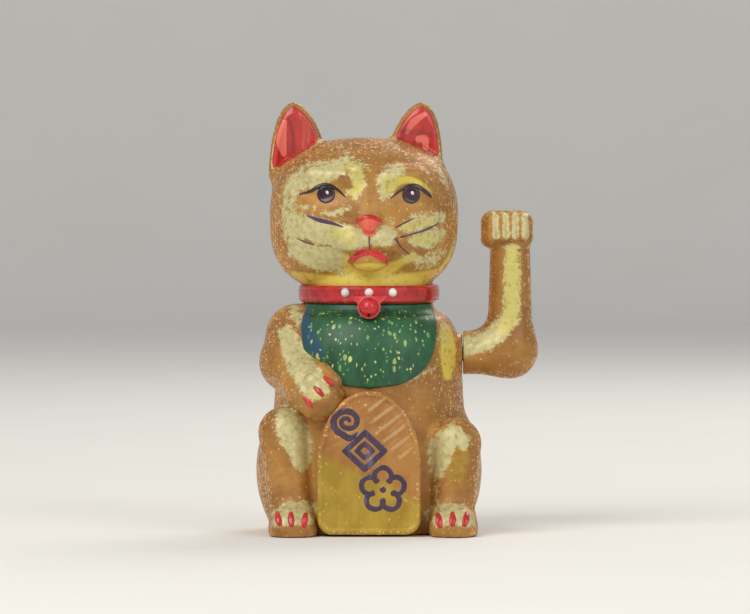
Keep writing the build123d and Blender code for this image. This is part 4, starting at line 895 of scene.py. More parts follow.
def bare_metal(name, color, darker, rough=0.3, along=(1.0, 0.08, 1.0)):
    """Drawn or turned metal with fine scratches one way and a little tarnish."""
    s = Shader(name, Metallic=1.0)
    drawn = s.noise(2600.0, 3.0, 0.65, along, 9.0)
    stain = s.noise(160.0, 4.0, 0.6)
    tone = s.mix(s.ramp(stain, 0.35, 0.8), color, darker)
    s.bump(drawn, 0.2, 0.00005)
    return s.done(tone, s.ramp(drawn, 0.2, 0.85, rough - 0.08, rough + 0.16))


def copper_turns(name):
    """Lacquered magnet wire, turn beside turn, dark in the grooves between turns as painted shade and light
    along them as painted highlight.
    """
    s = Shader(name, Metallic=0.9, Coat_Weight=0.5, Coat_Roughness=0.1)
    made = s.tree.nodes.new("ShaderNodeTexWave")
    made.bands_direction = "Z"
    s.feed(made.inputs["Vector"], s.where)
    s.feed(made.inputs["Scale"], 620.0)
    s.feed(made.inputs["Distortion"], 1.2)
    turns = made.outputs["Fac"]
    s.bump(turns, 0.5, 0.0001)
    # Dark copper between the turns is painted shade; light copper along them is painted highlight.
    return s.done(s.mix(turns, srgb(120, 52, 22), srgb(204, 112, 58)), s.ramp(turns, 0.0, 1.0, 0.4, 0.2))


# ---- where the gold takes pale painted highlights, painted glints and yellow paint --------------
def brushed(x, up, strokes, soft=2.3):
    """Soft strokes in the front view: each a path, its half widths, and its strength."""
    total = np.zeros(len(x))
    for path, radii, strength in strokes:
        shape = stroke(path, radii)
        near = (x > shape.low[0] - soft) & (x < shape.high[0] + soft)
        near &= (up > shape.low[1] - soft) & (up < shape.high[1] + soft)
        off = shape(x[near], up[near])
        total[near] = np.maximum(total[near], strength * (1 - smooth_step(off, -soft, soft)))
    return total


# Pale painted highlights on the gold: brows, sides of the head, cheeks, muzzle, lowered arm, legs, feet and
# torso.
PALE_STROKES = [
    ([(-34, 160), (-27, 163.5), (-17, 165.5), (-11, 169)], [4.4, 5.8, 5.0, 3.4], 0.86),
    ([(-12, 168.5), (-6.5, 166), (-4.8, 160), (-7.5, 155.5)], [2.5, 3.8, 3.8, 3.2], 0.76),
    ([(-12.5, 175), (-9.5, 171), (-2, 167)], [2.4, 3.4, 3.6], 0.46),
    ([(13, 165.5), (9, 162), (7.4, 155.5)], [3.8, 5.0, 3.6], 0.8),
    ([(-36, 159), (-37, 149), (-36, 138), (-33, 130)], [3.2, 4.0, 4.0, 3.6], 0.72),
    ([(-31, 148.5), (-25.5, 148.2)], [1.8, 1.4], 0.6),
    ([(-22, 146.5), (-16, 145.6), (-10.5, 148.6)], [1.1, 2.1, 1.6], 0.7),
    ([(-33, 140), (-25, 138.2), (-13, 135), (-4.5, 134.5)], [5.4, 6.2, 6.2, 5.0], 1.0),
    ([(-32, 129.5), (-23, 126.5), (-15.5, 125)], [5.6, 7.0, 5.6], 0.92),
    ([(-14, 120), (-6.5, 114.5)], [3.0, 2.0], 0.6),
    ([(2.2, 133), (7, 135.4), (10, 135)], [1.8, 4.8, 3.8], 1.0),
    ([(10.6, 141.5), (6.6, 144.5)], [1.5, 1.0], 0.6),
    ([(16, 139), (23, 142), (33, 144)], [2.2, 4.4, 2.8], 0.72),
    ([(20.5, 133.6), (28, 134.2), (33.5, 137)], [3.0, 4.6, 2.6], 0.78),
    ([(17, 126.5), (26, 123.5), (33, 127.5)], [2.8, 4.2, 3.0], 0.58),
    ([(31, 172), (34, 163), (37.5, 155)], [0.6, 1.3, 0.8], 0.7),
    ([(39.6, 148), (39.8, 137)], [0.8, 1.1], 0.5),
    ([(-34.5, 105), (-32.5, 98)], [3.0, 3.8], 0.75),
    ([(-38, 90), (-34, 81), (-29.5, 73), (-25, 66)], [4.4, 6.0, 6.6, 6.8], 0.88),
    ([(-38.5, 54), (-35.5, 46), (-32, 38), (-31, 30)], [4.4, 7.4, 6.0, 3.4], 0.92),
    ([(38.5, 47), (43, 41)], [3.0, 4.0], 0.86),
    ([(38, 46), (33.5, 38), (31.5, 27)], [2.8, 6.0, 3.4], 0.92),
    ([(30.5, 22), (31.5, 14)], [1.8, 2.2], 0.5),
    ([(-44.5, 5), (-36, 7.5), (-26.5, 8)], [3.6, 5.6, 4.8], 0.9),
    ([(31, 6.5), (39, 7), (47, 5)], [5.0, 5.6, 3.8], 0.88),
    ([(34, 95), (35, 88)], [2.6, 3.6], 0.62),
    ([(7, 68.5), (19, 69.6), (30, 74)], [1.2, 2.2, 1.6], 0.5),
]
# Yellow on the gold: painted highlights on the brows, cheeks, the right side of the head, torso and leg,
# and a yellow-olive band across the chin and under the head.
YELLOW_STROKES = [
    ([(-12, 168), (-6.5, 166), (-4.8, 160), (-7.5, 155.5)], [2.2, 3.4, 3.4, 2.8], 0.85),
    ([(-24, 160), (-15.5, 160), (-11, 157)], [1.6, 2.0, 1.2], 0.6),
    ([(9.5, 157.5), (14.5, 161), (21, 161), (27.5, 157), (29, 154.6)], [2.6, 2.6, 2.2, 1.4, 0.6], 1.0),
    ([(8.5, 161), (7.6, 156)], [3.2, 2.6], 0.7),
    ([(-17, 137), (-9.5, 135)], [2.8, 4.6], 0.66),
    ([(17, 140), (28, 141.5)], [2.8, 2.8], 0.7),
    ([(22, 134), (30, 134)], [2.6, 3.2], 0.7),
    ([(-35, 118), (-26, 115), (-13, 113.5), (0, 113.5), (14, 114.5), (24, 116), (33, 119)],
     [2.6, 4.4, 5.0, 5.4, 5.0, 4.4, 3.0], 0.86),
    ([(-10.5, 127), (-9, 120), (0, 119.5), (9, 120.5), (20, 126)], [2.6, 3.8, 4.8, 3.8, 2.4], 0.85),
    ([(28, 116.5), (34.5, 121.5), (38, 128), (39.6, 136)], [1.4, 2.2, 1.8, 1.0], 0.95),
    ([(36.2, 93), (36.6, 82), (36.2, 71)], [2.8, 4.6, 2.8], 1.0),
    ([(42.5, 34), (39, 26)], [5.4, 5.0], 0.55),
    ([(-27, 62), (-20, 62)], [2.0, 2.0], 0.5),
]
# Pale painted highlights along the raised arm.
ARM_PALE = [
    ([(43, 84), (51, 86.5), (59, 91), (64, 97)], [4.4, 4.8, 5.0, 4.2], 0.95),
    ([(65.5, 97), (66, 112), (66, 129)], [4.2, 4.2, 3.6], 0.8),
    ([(75, 96), (74.6, 116)], [0.9, 0.7], 0.6),
    ([(46, 73), (60, 73.5), (70, 79)], [0.5, 0.9, 0.6], 0.4),
]
# A pale painted highlight down each finger.
FINGER_PALE = [([(x, 144.6), (x + 0.3, 135.6)], [1.5, 1.7], 1.0) for x in (58.3, 62.9, 67.4, 71.8)]
# Yellow painted highlights down the forearm and across the top of the paw.
ARM_YELLOW = [
    ([(62, 93), (65.6, 99), (66, 112), (66, 129)], [3.4, 3.6, 3.8, 3.2], 0.9),
    ([(55, 147), (65, 147.6), (73, 146.5)], [1.6, 2.0, 1.6], 0.55),
]
EAR_PINK = [
    ([(-39.0, 188), (-40.4, 180), (-39.2, 173.5)], [1.2, 2.4, 1.4], 1.0),
    ([(-32, 192), (-28.6, 184), (-29.6, 176.5)], [1.0, 2.2, 1.8], 0.5),
    ([(23, 180.2), (25.6, 180.2), (26.2, 176)], [1.6, 1.8, 1.2], 1.25),
    ([(17.4, 183), (20.5, 188), (25.5, 191.5)], [0.9, 1.7, 1.2], 0.85),
]
EAR_DARK = [
    ([(-37, 190), (-35.2, 183), (-35, 176)], [0.5, 0.9, 0.6], 0.9),
    ([(14, 184), (21, 183.4), (29, 182)], [1.0, 1.4, 1.2], 0.5),
]
BIB_BLUE = [
    ([(-30, 101), (-29.5, 91), (-23, 82)], [3.0, 4.4, 2.6], 1.0),
    ([(-24, 104), (-10, 104)], [1.8, 1.2], 0.5),
]
# Places kept clear of the painted highlights.
GAP_STROKES = [
    ([(-13, 162), (-9.5, 158.6)], [1.4, 1.2], 1.0),
    ([(-32, 135.5), (-24, 131.5), (-17, 131)], [0.5, 0.8, 0.4], 0.6),
    ([(12.5, 134), (17, 129.5)], [1.0, 2.6], 0.9),
]


def sided(n):
    """Nearer 1 where the surface turns away from the front."""
    return smooth_step(1 - np.abs(n[:, 1]), 0.18, 0.8)


def body_masks(p, n):
    x, up = seen(p)
    front = smooth_step(-n[:, 1], 0.0, 0.4)
    front *= 1 - (p[:, 2] < 16) * smooth_step(p[:, 1], -30.0, -24.0)  # not on the haunch behind a foot
    gaps = brushed(x, up, GAP_STROKES, 0.9)
    # Pale and yellow painted highlights, on surfaces that face the front.
    pale = brushed(x, up, PALE_STROKES) * front * (1 - gaps)
    yellow = brushed(x, up, YELLOW_STROKES) * front * (1 - gaps)
    rim = np.zeros(len(x))
    for which in (0, 1):
        near_rim = (ear_shape(p, which) > -1.3) & (np.abs(ear_shape(p, which, 1.9, 6.3)) < 1.6)
        rim = np.maximum(rim, near_rim * (p[:, 2] > 166) * front)
    # Red: pale painted highlights, and the pale rim round each ear's lining; green: where glints are
    # painted on the glitter; blue: the yellow paint.
    return np.stack([np.maximum(pale, rim * 0.62), sided(n), yellow], 1)


def arm_masks(p, n):
    x, up = seen(p)
    front = smooth_step(-n[:, 1], -0.1, 0.3)
    # Pale and yellow painted highlights on the raised arm; green for glitter with painted glints at its
    # sides.
    pale = np.maximum(brushed(x, up, ARM_PALE), brushed(x, up, FINGER_PALE, 0.7)) * front
    return np.stack([pale, sided(n), brushed(x, up, ARM_YELLOW) * front], 1)


def coin_masks(p, n):
    x, up = seen(p)
    streak = (up * SLANT[0] + x * SLANT[1]) / CHISEL_APART
    middle = 1 - smooth_step(np.abs(streak - np.floor(streak) - 0.5), 0.05, 0.3)
    upper_right = brushed(x, up, [([(4, 57), (10, 48), (15, 37)], [6.0, 8.0, 5.0], 0.8)], 4.0)
    edge = smooth_step(-coin_outline(x, p[:, 2]), 2.6, 1.4)
    olive = smooth_step(24.0 - up - x * 0.5, -10.0, 9.0)
    pale = np.maximum(middle * upper_right, edge * 0.2)
    # Green: glitter with painted glints, more at the coin's sides and edge.
    return np.stack([pale, sided(n) * 0.5 + edge * 0.5, olive], 1)


def bib_masks(p, n):
    x, up = seen(p)
    inner = smooth_step(-bib_outline(x, p[:, 2]), 1.5, 5.0)
    return np.stack([brushed(x, up, BIB_BLUE, 3.0), inner, np.zeros(len(x))], 1)


def ear_masks(p, n):
    x, up = seen(p)
    return np.stack([brushed(x, up, EAR_PINK, 0.6), np.zeros(len(x)), brushed(x, up, EAR_DARK, 0.8)], 1)


# ---- pieces -------------------------------------------------------------------------------------
def near(p, middle, reach):
    return np.linalg.norm(p - middle, axis=1) < reach


def worth_detail(p):
    """Places on the outside with small forms: face, ears, toes and the lowered paw."""
    face_here = (p[:, 1] < -24) & (np.abs(p[:, 0]) < 29) & (p[:, 2] > 121) & (p[:, 2] < 167)
    feet = (p[:, 1] < -41) & (np.abs(p[:, 0]) > 24) & (p[:, 2] < 14)
    ears = (p[:, 2] > 170) & (np.abs(p[:, 0] + 5) > 14) & (p[:, 1] < 4)
    return (face_here | feet | ears | near(p, PAW_TOES, 15)) & (figure(p) > -0.9)


def build_body(material):
    points, quads = surface_net(body_wall, (-56, -62, -1.2), (56, 54, 200), CELL)
    bm = to_bmesh(settle(body_wall, points), quads)
    refine(bm, worth_detail)
    place_all(bm, settle(body_wall, positions(bm)))
    for front, node in ((True, "front_shell"), (False, "rear_shell")):
        piece = finish_mesh(node + "_gold", half_of(bm, front, figure), material)
        write_masks(piece, body_masks)
        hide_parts(node)
        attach(piece, "figure")
    bm.free()


def build_arm(material):
    points, quads = surface_net(arm_wall, (42, -16, 68), (79, 14, 150), FINE)
    bm = to_bmesh(settle(arm_wall, points), quads)
    for front, node in ((True, "arm_front_shell"), (False, "arm_rear_shell")):
        piece = finish_mesh(node + "_gold", half_of(bm, front, raised_arm), material)
        write_masks(piece, arm_masks)
        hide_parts(node)
        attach(piece, "raised_arm")
    bm.free()


def sculpt(name, node, field, low, high, cell, material, masks=None):
    """A closed piece netted from its field, standing for a CAD node."""
    points, quads = surface_net(field, low, high, cell)
    piece = finish_mesh(name, to_bmesh(settle(field, points, reach=1.0), quads), material)
    if masks:
        write_masks(piece, masks)
    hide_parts(node)
    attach(piece, "figure")
    return piece


def lathe(profile, segments=48, gap=0.0):
    """A turned form: (radius, height) points taken round the Z axis, open by a gap at +Y."""
    bm = bmesh.new()
    start = math.pi / 2 + gap / 2
    sweep = 2 * math.pi - gap
    count = segments + (1 if gap else 0)
    rings = []
    for i in range(count):
        turn = start + sweep * i / segments
        ring = [bm.verts.new((r * math.cos(turn), r * math.sin(turn), z)) for r, z in profile]
        rings.append(ring)
    for i in range(segments):
        a, b = rings[i], rings[(i + 1) % count]
        for j in range(len(profile)):
            k = (j + 1) % len(profile)
            bm.faces.new((a[j], b[j], b[k], a[k]))
    if gap:
        bm.faces.new(rings[0])
        bm.faces.new(rings[-1][::-1])
    bmesh.ops.remove_doubles(bm, verts=bm.verts, dist=1e-4)
    bmesh.ops.recalc_face_normals(bm, faces=bm.faces)
    return bm


def build_collar(material):
    """A lacquered band, crowned across, with a fine rolled edge above and below."""
    low, high = COLLAR_Z
    inner, outer = COLLAR_R
    across = np.linspace(0, 1, 25)
    crown = outer - 0.55 * np.abs(2 * across - 1) ** 3.2
    crown += 0.22 * (smooth_step(np.abs(2 * across - 1), 0.66, 0.72) - smooth_step(
        np.abs(2 * across - 1), 0.86, 0.93))
    front = [(r, low + 0.35 + (high - low - 0.7) * t) for r, t in zip(crown, across)]
    back = [(inner + 0.5, high), (inner, high - 0.5), (inner, low + 0.5), (inner + 0.5, low)]
    bm = lathe(front + [(outer - 1.0, high)] + back + [(outer - 1.0, low)], 260, 0.5 / outer)
    piece = finish_mesh("collar_band", bm, material, 50)
    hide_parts("collar")
    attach(piece, "figure")


def build_beads(material):
    bm = bmesh.new()
    turns = np.linspace(0, math.pi / 2, 14)
    dome = [(BEAD_R * 0.93 * math.cos(t), 0.35 + 1.5 * math.sin(t)) for t in turns]
    profile = [(0, 0.02), (BEAD_R, 0.02), (BEAD_R, 0.35)] + dome
    for turn in (-BEAD_TURN, 0, BEAD_TURN):
        bead = lathe(profile, 40)
        bmesh.ops.rotate(bead, cent=(0, 0, 0), verts=bead.verts,
                         matrix=Matrix.Rotation(math.pi / 2, 3, "X"))
        bmesh.ops.translate(bead, vec=(0, -COLLAR_R[1] - 0.05, BEAD_Z), verts=bead.verts)
        bmesh.ops.rotate(bead, cent=(0, 0, 0), verts=bead.verts,
                         matrix=Matrix.Rotation(math.radians(turn), 3, "Z"))
        mesh = bpy.data.meshes.new("bead")
        bead.to_mesh(mesh)
        bm.from_mesh(mesh)
        bead.free()
        bpy.data.meshes.remove(mesh)
    piece = finish_mesh("collar_bead_domes", bm, material, 50)
    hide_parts("collar_beads")
    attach(piece, "figure")


def bell_shape(p):
    q = p - BELL_AT
    ball = np.linalg.norm(q, axis=1) - BELL_R
    band = np.maximum(np.hypot(q[:, 0], q[:, 1]) - BELL_R - 0.35, np.abs(q[:, 2]) - 0.45)
    shape = cut(join(ball, band, 0.25), ball + 0.8, 0.1)
    slot = np.maximum(np.abs(q[:, 0]) - 0.45, np.maximum(np.abs(q[:, 1]) - 2.3, q[:, 2] + 0.8))
    holes = np.hypot(q[:, 0], np.abs(q[:, 1]) - 2.3) - 0.8
    return cut(shape, np.minimum(slot, np.maximum(holes, q[:, 2])), 0.15)


def bell_hanger(p):
    """A red tongue that comes down from the collar, and a ring round the bell's edge that is a painted
    highlight.
    """
    q = p - BELL_AT
    # The pink ring round the bell stands for the bell's highlight: a painted highlight.
    ring = np.hypot(np.hypot(q[:, 0], q[:, 2]) - BELL_R - 0.45, q[:, 1] - 0.6) - 0.6
    share = np.clip((108.6 - p[:, 2]) / 4.6, 0, 1)
    middle = -33.6 - 5.2 * share
    wide = 8.0 - 3.0 * smooth_step(share, 0.0, 0.9)
    sheet = np.maximum(np.abs(p[:, 1] - middle) * 0.66 - 0.5, np.abs(p[:, 0]) - wide)
    sheet = np.maximum(sheet, np.maximum(p[:, 2] - 108.6, 103.4 - p[:, 2]))
    sheet = cut(sheet, np.linalg.norm(q, axis=1) - BELL_R - 0.1, 0.2)
    return cut(join(ring, sheet, 0.8), np.linalg.norm(q, axis=1) - BELL_R - 0.03, 0.1)


def ear_paint_shape(which):
    """The red lining: the ear's own outline, less its rim, above the line of the head."""
    left_end, right_end = ((-40.0, 168.0), (-22.0, 179.0)) if which == 0 else ((9.6, 180.0), (29.8, 171.6))
    slope = (right_end[1] - left_end[1]) / (right_end[0] - left_end[0])

    def distance(x, up):
        p = np.stack([x, np.full(len(x), EAR_Y), up], 1)
        below = left_end[1] + slope * (x - left_end[0]) - up
        return -join(-ear_shape(p, which, 1.3) * 1.3, -below / math.hypot(1, slope), 4.0)

    middle = sum(EARS[which]) / 2
    return boxed(distance, (middle - 14, 165), (middle + 14, 198))


def swirl(middle, size, turns=1.6):
    """A scroll of cloud."""
    steps = np.linspace(0, 1, 26)
    angle = 0.6 + turns * 2 * math.pi * steps
    reach = size * (0.16 + 0.84 * steps)
    path = np.stack([middle[0] + reach * np.cos(angle), middle[1] + reach * 0.86 * np.sin(angle)], 1)
    tail = path[-1] + np.array([[0, 0], [size * 0.5, -size * 0.25], [size * 0.95, size * 0.1]])
    return several(stroke(path, 1.0 + 0.6 * steps, False), stroke(tail, [1.6, 1.5, 0.5]))


def lozenge(middle, size):
    """Two diamonds, one inside the other."""
    shapes = []
    for share, thick in ((1.0, 1.5), (0.4, 1.2)):
        wide, tall = size * share, size * 0.92 * share
        ring = [(0, tall), (wide, 0), (0, -tall), (-wide, 0), (0, tall)]
        path = [(middle[0] + x, middle[1] + y) for x, y in ring]
        shapes.append(stroke(path, [thick] * 5, False))
    return several(*shapes)


def blossom(middle, size):
    """Five round petals about a ring."""
    shapes = []
    for petal in range(5):
        turn = math.pi / 2 + petal * 2 * math.pi / 5
        centre = (middle[0] + size * 0.6 * math.cos(turn), middle[1] + size * 0.6 * math.sin(turn))
        bend = np.linspace(turn - 2.2, turn + 2.2, 15)
        path = np.stack([centre[0] + size * 0.38 * np.cos(bend), centre[1] + size * 0.38 * np.sin(bend)], 1)
        shapes.append(stroke(path, [1.25] * len(path), False))
    shapes.append(stroke([middle, (middle[0] + 0.01, middle[1])], [1.5, 1.5], False))
    return several(*shapes)


def paint_face(ink, red, glint, purple):
    """Eyes, lids, nose, mouth and whiskers, in the front view."""
    for side, iris in (("left", (-19.8, 154.7)), ("right", (19.4, 154.5))):
        paint("eye_" + side, stroke([iris, (iris[0] + 0.01, iris[1])], [4.15, 4.15], False), face,
              ink, 0.55, 0.25)
        mark = [(iris[0] + 0.5, iris[1] + 1.0), (iris[0] + 0.7, iris[1] + 0.6)]
        paint("eye_glint_" + side, stroke(mark, [1.0, 0.9], False), face, glint, 0.85, 0.14)
    left_lid = [(-32, 154.8), (-27.2, 156), (-23.4, 158.2), (-19.4, 158.9), (-15, 157.2), (-11, 153.6)]
    paint("lid_left", stroke(left_lid, [0.3, 0.75, 1.0, 1.05, 0.7, 0.25]), face, ink, 0.62, 0.22)
    right_lid = [(10.0, 152.8), (13.9, 156.2), (17.9, 158.3), (22.0, 158.4), (25.6, 156.4), (28.6, 154.1)]
    paint("lid_right", stroke(right_lid, [0.25, 0.6, 1.0, 1.1, 0.9, 0.4]), face, ink, 0.62, 0.22)
    wing = stroke([(25.4, 156.2), (28.6, 153.3)], [0.9, 0.4], False)
    paint("lid_right_wing", wing, face, ink, 0.4, 0.22)
    nose = several(stroke([(-4.6, 142.2), (0, 142.2), (4.6, 142.2)], [1.6, 2.6, 1.6]),
                   stroke([(-3.0, 141.0), (0, 137.0), (3.0, 141.0)], [1.6, 1.9, 1.6]))
    paint("nose", nose, face, red["nose"], 0.35, 0.22)
    top = stroke([(-5.0, 142.7), (0, 144.3), (5.0, 142.7)], [1.1, 1.2, 1.1])
    paint("nose_top", top, face, red["claw"], 0.5, 0.22)
    paint("philtrum", stroke([(0.0, 135.2), (0.2, 131.6), (0.5, 128.4)], [0.45, 0.35, 0.45]), face,
          purple, 0.2, 0.2)
    lip = [(-8.6, 123.9), (-4.4, 127.2), (0.4, 128.0), (4.6, 126.6), (8.0, 123.8)]
    paint("mouth", stroke(lip, [1.3, 1.8, 1.45, 1.85, 1.25]), face, red["claw"], 0.42, 0.22)
    whiskers = {
        "whisker_left": ([(-28.4, 144.9), (-23.0, 143.0), (-17.0, 141.4), (-12.0, 139.6)],
                         [0.45, 1.15, 0.85, 0.3]),
        "whisker_left_low": ([(-33.4, 134.4), (-29.0, 132.6), (-25.0, 131.2)], [0.2, 0.45, 0.2]),
        "whisker_right": ([(14.6, 135.0), (20.0, 136.4), (26.0, 138.4), (31.4, 141.0)],
                          [0.5, 0.4, 0.55, 0.25]),
        "whisker_right_top": ([(12.2, 139.4), (16.4, 141.6), (21.2, 143.8)], [0.35, 0.4, 0.2]),
        "whisker_right_low": ([(12.4, 134.2), (14.6, 130.6), (18.4, 127.2)], [0.5, 0.35, 0.3]),
    }
    for name, (path, radii) in whiskers.items():
        paint(name, stroke(path, radii), face, purple, 0.22, 0.2)


def paint_claws(red):
    for side, xs, heights in ((-1, (-41.9, -35.9, -29.6), (5.2, 4.9, 4.5)),
                              (1, (32.2, 38.5, 44.7), (4.4, 5.0, 5.0))):
        for i, (x, up) in enumerate(zip(xs, heights)):
            lean = (x - TOE_MIDDLE[side]) * 0.06
            mark = stroke([(x + lean, up + 2.6), (x, up), (x - lean * 1.5, up - 2.4)], [1.05, 1.6, 1.2])
            paint(f"claw_foot_{'left' if side < 0 else 'right'}_{i}", mark, figure, red, 0.5, 0.25)
    for i, (x, up) in enumerate(((-18.6, 68.8), (-23.0, 63.9), (-28.0, 59.0))):
        mark = stroke([(x - 1.9, up + 1.7), (x, up), (x + 1.5, up - 1.7)], [0.8, 1.3, 1.0])
        paint(f"claw_paw_{i}", mark, figure, red, 0.5, 0.25)


def finish_cad_nodes():
    """Plastic, metal and copper for what stays as the CAD made it."""
    white = moulded("white_nylon", srgb(214, 212, 204), srgb(232, 230, 222), 0.45)
    black = moulded("black_styrene", srgb(24, 23, 24), srgb(38, 36, 37), 0.48)
    knob = moulded("knob_plastic", srgb(44, 42, 44), srgb(66, 62, 64), 0.42)
    board = moulded("board_lacquer", srgb(18, 74, 38), srgb(34, 104, 52), 0.32, 900.0)
    chip = moulded("chip_resin", srgb(18, 18, 20), srgb(32, 32, 34), 0.6)
    red_lead = moulded("red_sleeve", srgb(176, 20, 22), srgb(206, 44, 40), 0.38)
    black_lead = moulded("black_sleeve", srgb(20, 20, 21), srgb(36, 36, 38), 0.38)
    steel = bare_metal("bright_steel", (0.62, 0.62, 0.64), (0.42, 0.42, 0.44), 0.26)
    plated = bare_metal("nickel_plate", (0.70, 0.69, 0.66), (0.52, 0.50, 0.46), 0.18)
    zinc = bare_metal("zinc_weight", (0.50, 0.51, 0.54), (0.34, 0.35, 0.37), 0.4, (1.0, 1.0, 0.1))
    brass = bare_metal("brass", (0.72, 0.52, 0.24), (0.50, 0.34, 0.15), 0.28)
    jacket = enamel("cell_jacket", srgb(46, 52, 66), srgb(28, 32, 42), srgb(86, 94, 108), 0.3, 0.5, 200.0)
    can = enamel("capacitor_sleeve", srgb(20, 28, 66), srgb(12, 16, 42), srgb(60, 72, 120), 0.3, 0.2, 300.0)
    copper = copper_turns("lacquered_copper")
    looks = {
        white: "arm_hub pendulum_arm coil_bobbin",
        black: "base_plate battery_door bearing_frame",
        knob: "switch_slider",
        board: "circuit_board",
        chip: "driver_chip resistors",
        red_lead: "battery_lead_red",
        black_lead: "battery_lead_black switch_lead",
        steel: "pivot_shaft shaft_clip hub_screw weight_rivet frame_screws base_screws board_screws "
               "switch_screws coil_core switch_body",
        plated: "drive_magnet battery_contact battery_spring",
        zinc: "counterweights",
        brass: "shaft_bushes switch_lugs",
        jacket: "battery_cell",
        can: "capacitor",
        copper: "coil_winding coil_leads",
    }
    for material, names in looks.items():
        for name in names.split():
            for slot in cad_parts[name].material_slots:
                slot.link = "OBJECT"
                slot.material = material


# ---- the cat ------------------------------------------------------------------------------------
gold = glitter_gold("glitter_gold")
lacquer = enamel("collar_lacquer", srgb(198, 36, 36), srgb(150, 22, 24), srgb(232, 104, 96), 0.24)
bell_red = enamel("bell_lacquer", srgb(206, 28, 36), srgb(150, 14, 20), srgb(232, 84, 84), 0.2)
# Pink for the hanger's tongue, and for the ring round the bell, which is a painted highlight.
hanger_and_highlight_pink = enamel("hanger_and_highlight_lacquer", srgb(224, 78, 84), srgb(196, 40, 52), srgb(240, 134, 130), 0.26)
claw_red = enamel("claw_enamel", srgb(206, 42, 38), srgb(168, 24, 24), srgb(232, 104, 92), 0.24)
nose_salmon = enamel("nose_enamel", srgb(232, 112, 84), srgb(214, 70, 56), srgb(244, 168, 132), 0.28)
ink = enamel("plum_ink", srgb(54, 28, 42), srgb(32, 16, 26), srgb(92, 60, 74), 0.24)
glint = enamel("glint_enamel", srgb(240, 222, 226), srgb(222, 190, 200), srgb(252, 246, 246), 0.2)
purple = enamel("violet_brush", srgb(84, 56, 80), srgb(62, 40, 62), srgb(120, 92, 116), 0.34)
violet = enamel("violet_enamel", srgb(72, 46, 70), srgb(50, 32, 52), srgb(142, 128, 172), 0.3, grain=240.0)
pearl = enamel("bead_enamel", srgb(246, 238, 236), srgb(226, 210, 208), srgb(255, 252, 250), 0.18)
pearl.node_tree.nodes["Principled BSDF"].inputs["Subsurface Weight"].default_value = 0.1

build_body(gold)
build_arm(gold)
sculpt("bib_skin", "bib", bib, (-34, -48, 64), (34, -3, 107), 0.62, bib_green("bib_green"), bib_masks)
sculpt("coin_relief", "koban_coin", coin, (-27, -53.5, -0.6), (27, -32, 68), FINE,
       coin_gold("coin_gold"), coin_masks)
build_collar(lacquer)
build_beads(pearl)
sculpt("bell_ball", "bell", bell_shape, (-5.4, -46, 98.6), (5.4, -35, 108.8), 0.24, bell_red)
sculpt("bell_hanger", "bell_lug", bell_hanger, (-9.5, -42.5, 97.5), (9.5, -31.5, 110), 0.28, hanger_and_highlight_pink)
ear_material = ear_red("ear_red")
for which, side in ((0, "left"), (1, "right")):
    paint("ear_lining_" + side, ear_paint_shape(which), figure, ear_material, 0.2, 0.35, ear_masks,
          only=lambda p, which=which: ear_shape(p, which) - 2.2)
paint_face(ink, {"nose": nose_salmon, "claw": claw_red}, glint, purple)
paint_claws(claw_red)
paint("coin_scroll", swirl((-10.0, 50.0), 7.2), coin, violet, 0.3, 0.3)
paint("coin_lozenge", lozenge((-2.0, 36.6), 9.0), coin, violet, 0.3, 0.3)
paint("coin_blossom", blossom((6.4, 18.6), 10.4), coin, violet, 0.3, 0.3)
finish_cad_nodes()


# ---- floor, light and camera --------------------------------------------------------------------
FLOOR_R, FLOOR_RISE, FLOOR_SIDES = 3.2, 0.8, 128


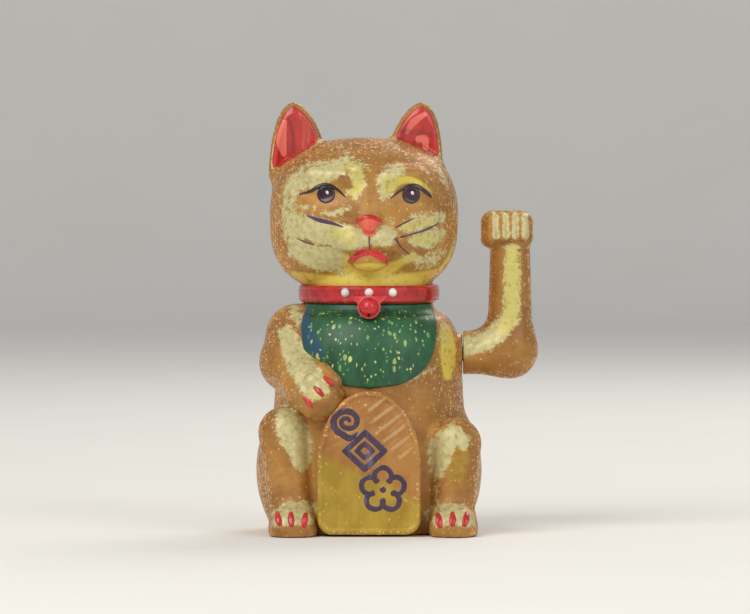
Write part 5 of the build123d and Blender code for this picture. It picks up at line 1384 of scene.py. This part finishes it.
def build_stage():
    """A plain pale floor, round, that rises in a curve far out."""
    turns = np.linspace(0.1, math.pi / 2, 14)
    rise = [(FLOOR_R + FLOOR_RISE * math.sin(t), FLOOR_RISE * (1 - math.cos(t))) for t in turns]
    profile = [(FLOOR_R * share, 0.0) for share in (0.02, 0.3, 0.65, 1.0)] + rise
    bm = bmesh.new()
    around = [2 * math.pi * i / FLOOR_SIDES for i in range(FLOOR_SIDES)]
    rings = [[bm.verts.new((r * math.cos(t), r * math.sin(t), z)) for t in around] for r, z in profile]
    bm.faces.new(rings[0])
    for inner, outer in zip(rings[:-1], rings[1:]):
        for i in range(FLOOR_SIDES):
            j = (i + 1) % FLOOR_SIDES
            bm.faces.new((inner[i], outer[i], outer[j], inner[j]))
    mesh = bpy.data.meshes.new("floor")
    bm.to_mesh(mesh)
    bm.free()
    mesh.shade_smooth()
    floor = bpy.data.objects.new("floor", mesh)
    bpy.context.scene.collection.objects.link(floor)
    s = Shader("floor_paper")
    mesh.materials.append(s.done(s.mix(s.noise(8.0, 3.0), srgb(238, 235, 228), srgb(243, 241, 235)), 0.8))


def add_light(name, place, target, size, power, color):
    data = bpy.data.lights.new(name, "AREA")
    data.shape, data.size, data.energy, data.color = "DISK", size, power, color
    lamp = bpy.data.objects.new(name, data)
    lamp.location = place
    aim = Vector(target) - lamp.location
    lamp.rotation_euler = aim.to_track_quat("-Z", "Y").to_euler()
    bpy.context.scene.collection.objects.link(lamp)


def add_camera():
    data = bpy.data.cameras.new("camera")
    data.sensor_fit, data.sensor_width = "HORIZONTAL", 36.0
    data.lens = data.sensor_width * VIEW_REACH / VIEW_WIDE
    camera = bpy.data.objects.new("camera", data)
    back = Vector(VIEW_BACK)
    camera.location = Vector(VIEW_MIDDLE * MM) + back * VIEW_REACH * MM
    camera.rotation_euler = (-back).to_track_quat("-Z", "Y").to_euler()
    bpy.context.scene.collection.objects.link(camera)
    bpy.context.scene.camera = camera


build_stage()
add_light("key", (-1.15, -1.5, 1.7), (0, 0, 0.1), 1.8, 34.0, (1.0, 0.97, 0.92))
add_light("fill", (1.5, -1.7, 1.2), (0, 0, 0.1), 1.6, 14.0, (0.97, 0.98, 1.0))
add_light("rim", (0.75, 1.3, 1.5), (0, 0, 0.12), 1.2, 13.0, (1.0, 0.96, 0.9))
world = bpy.data.worlds.new("studio")
bpy.context.scene.world = world
world.use_nodes = True
world.node_tree.nodes["Background"].inputs["Color"].default_value = (0.9, 0.92, 0.95, 1)
world.node_tree.nodes["Background"].inputs["Strength"].default_value = 0.45
bpy.context.scene.view_settings.view_transform = "Standard"
add_camera()
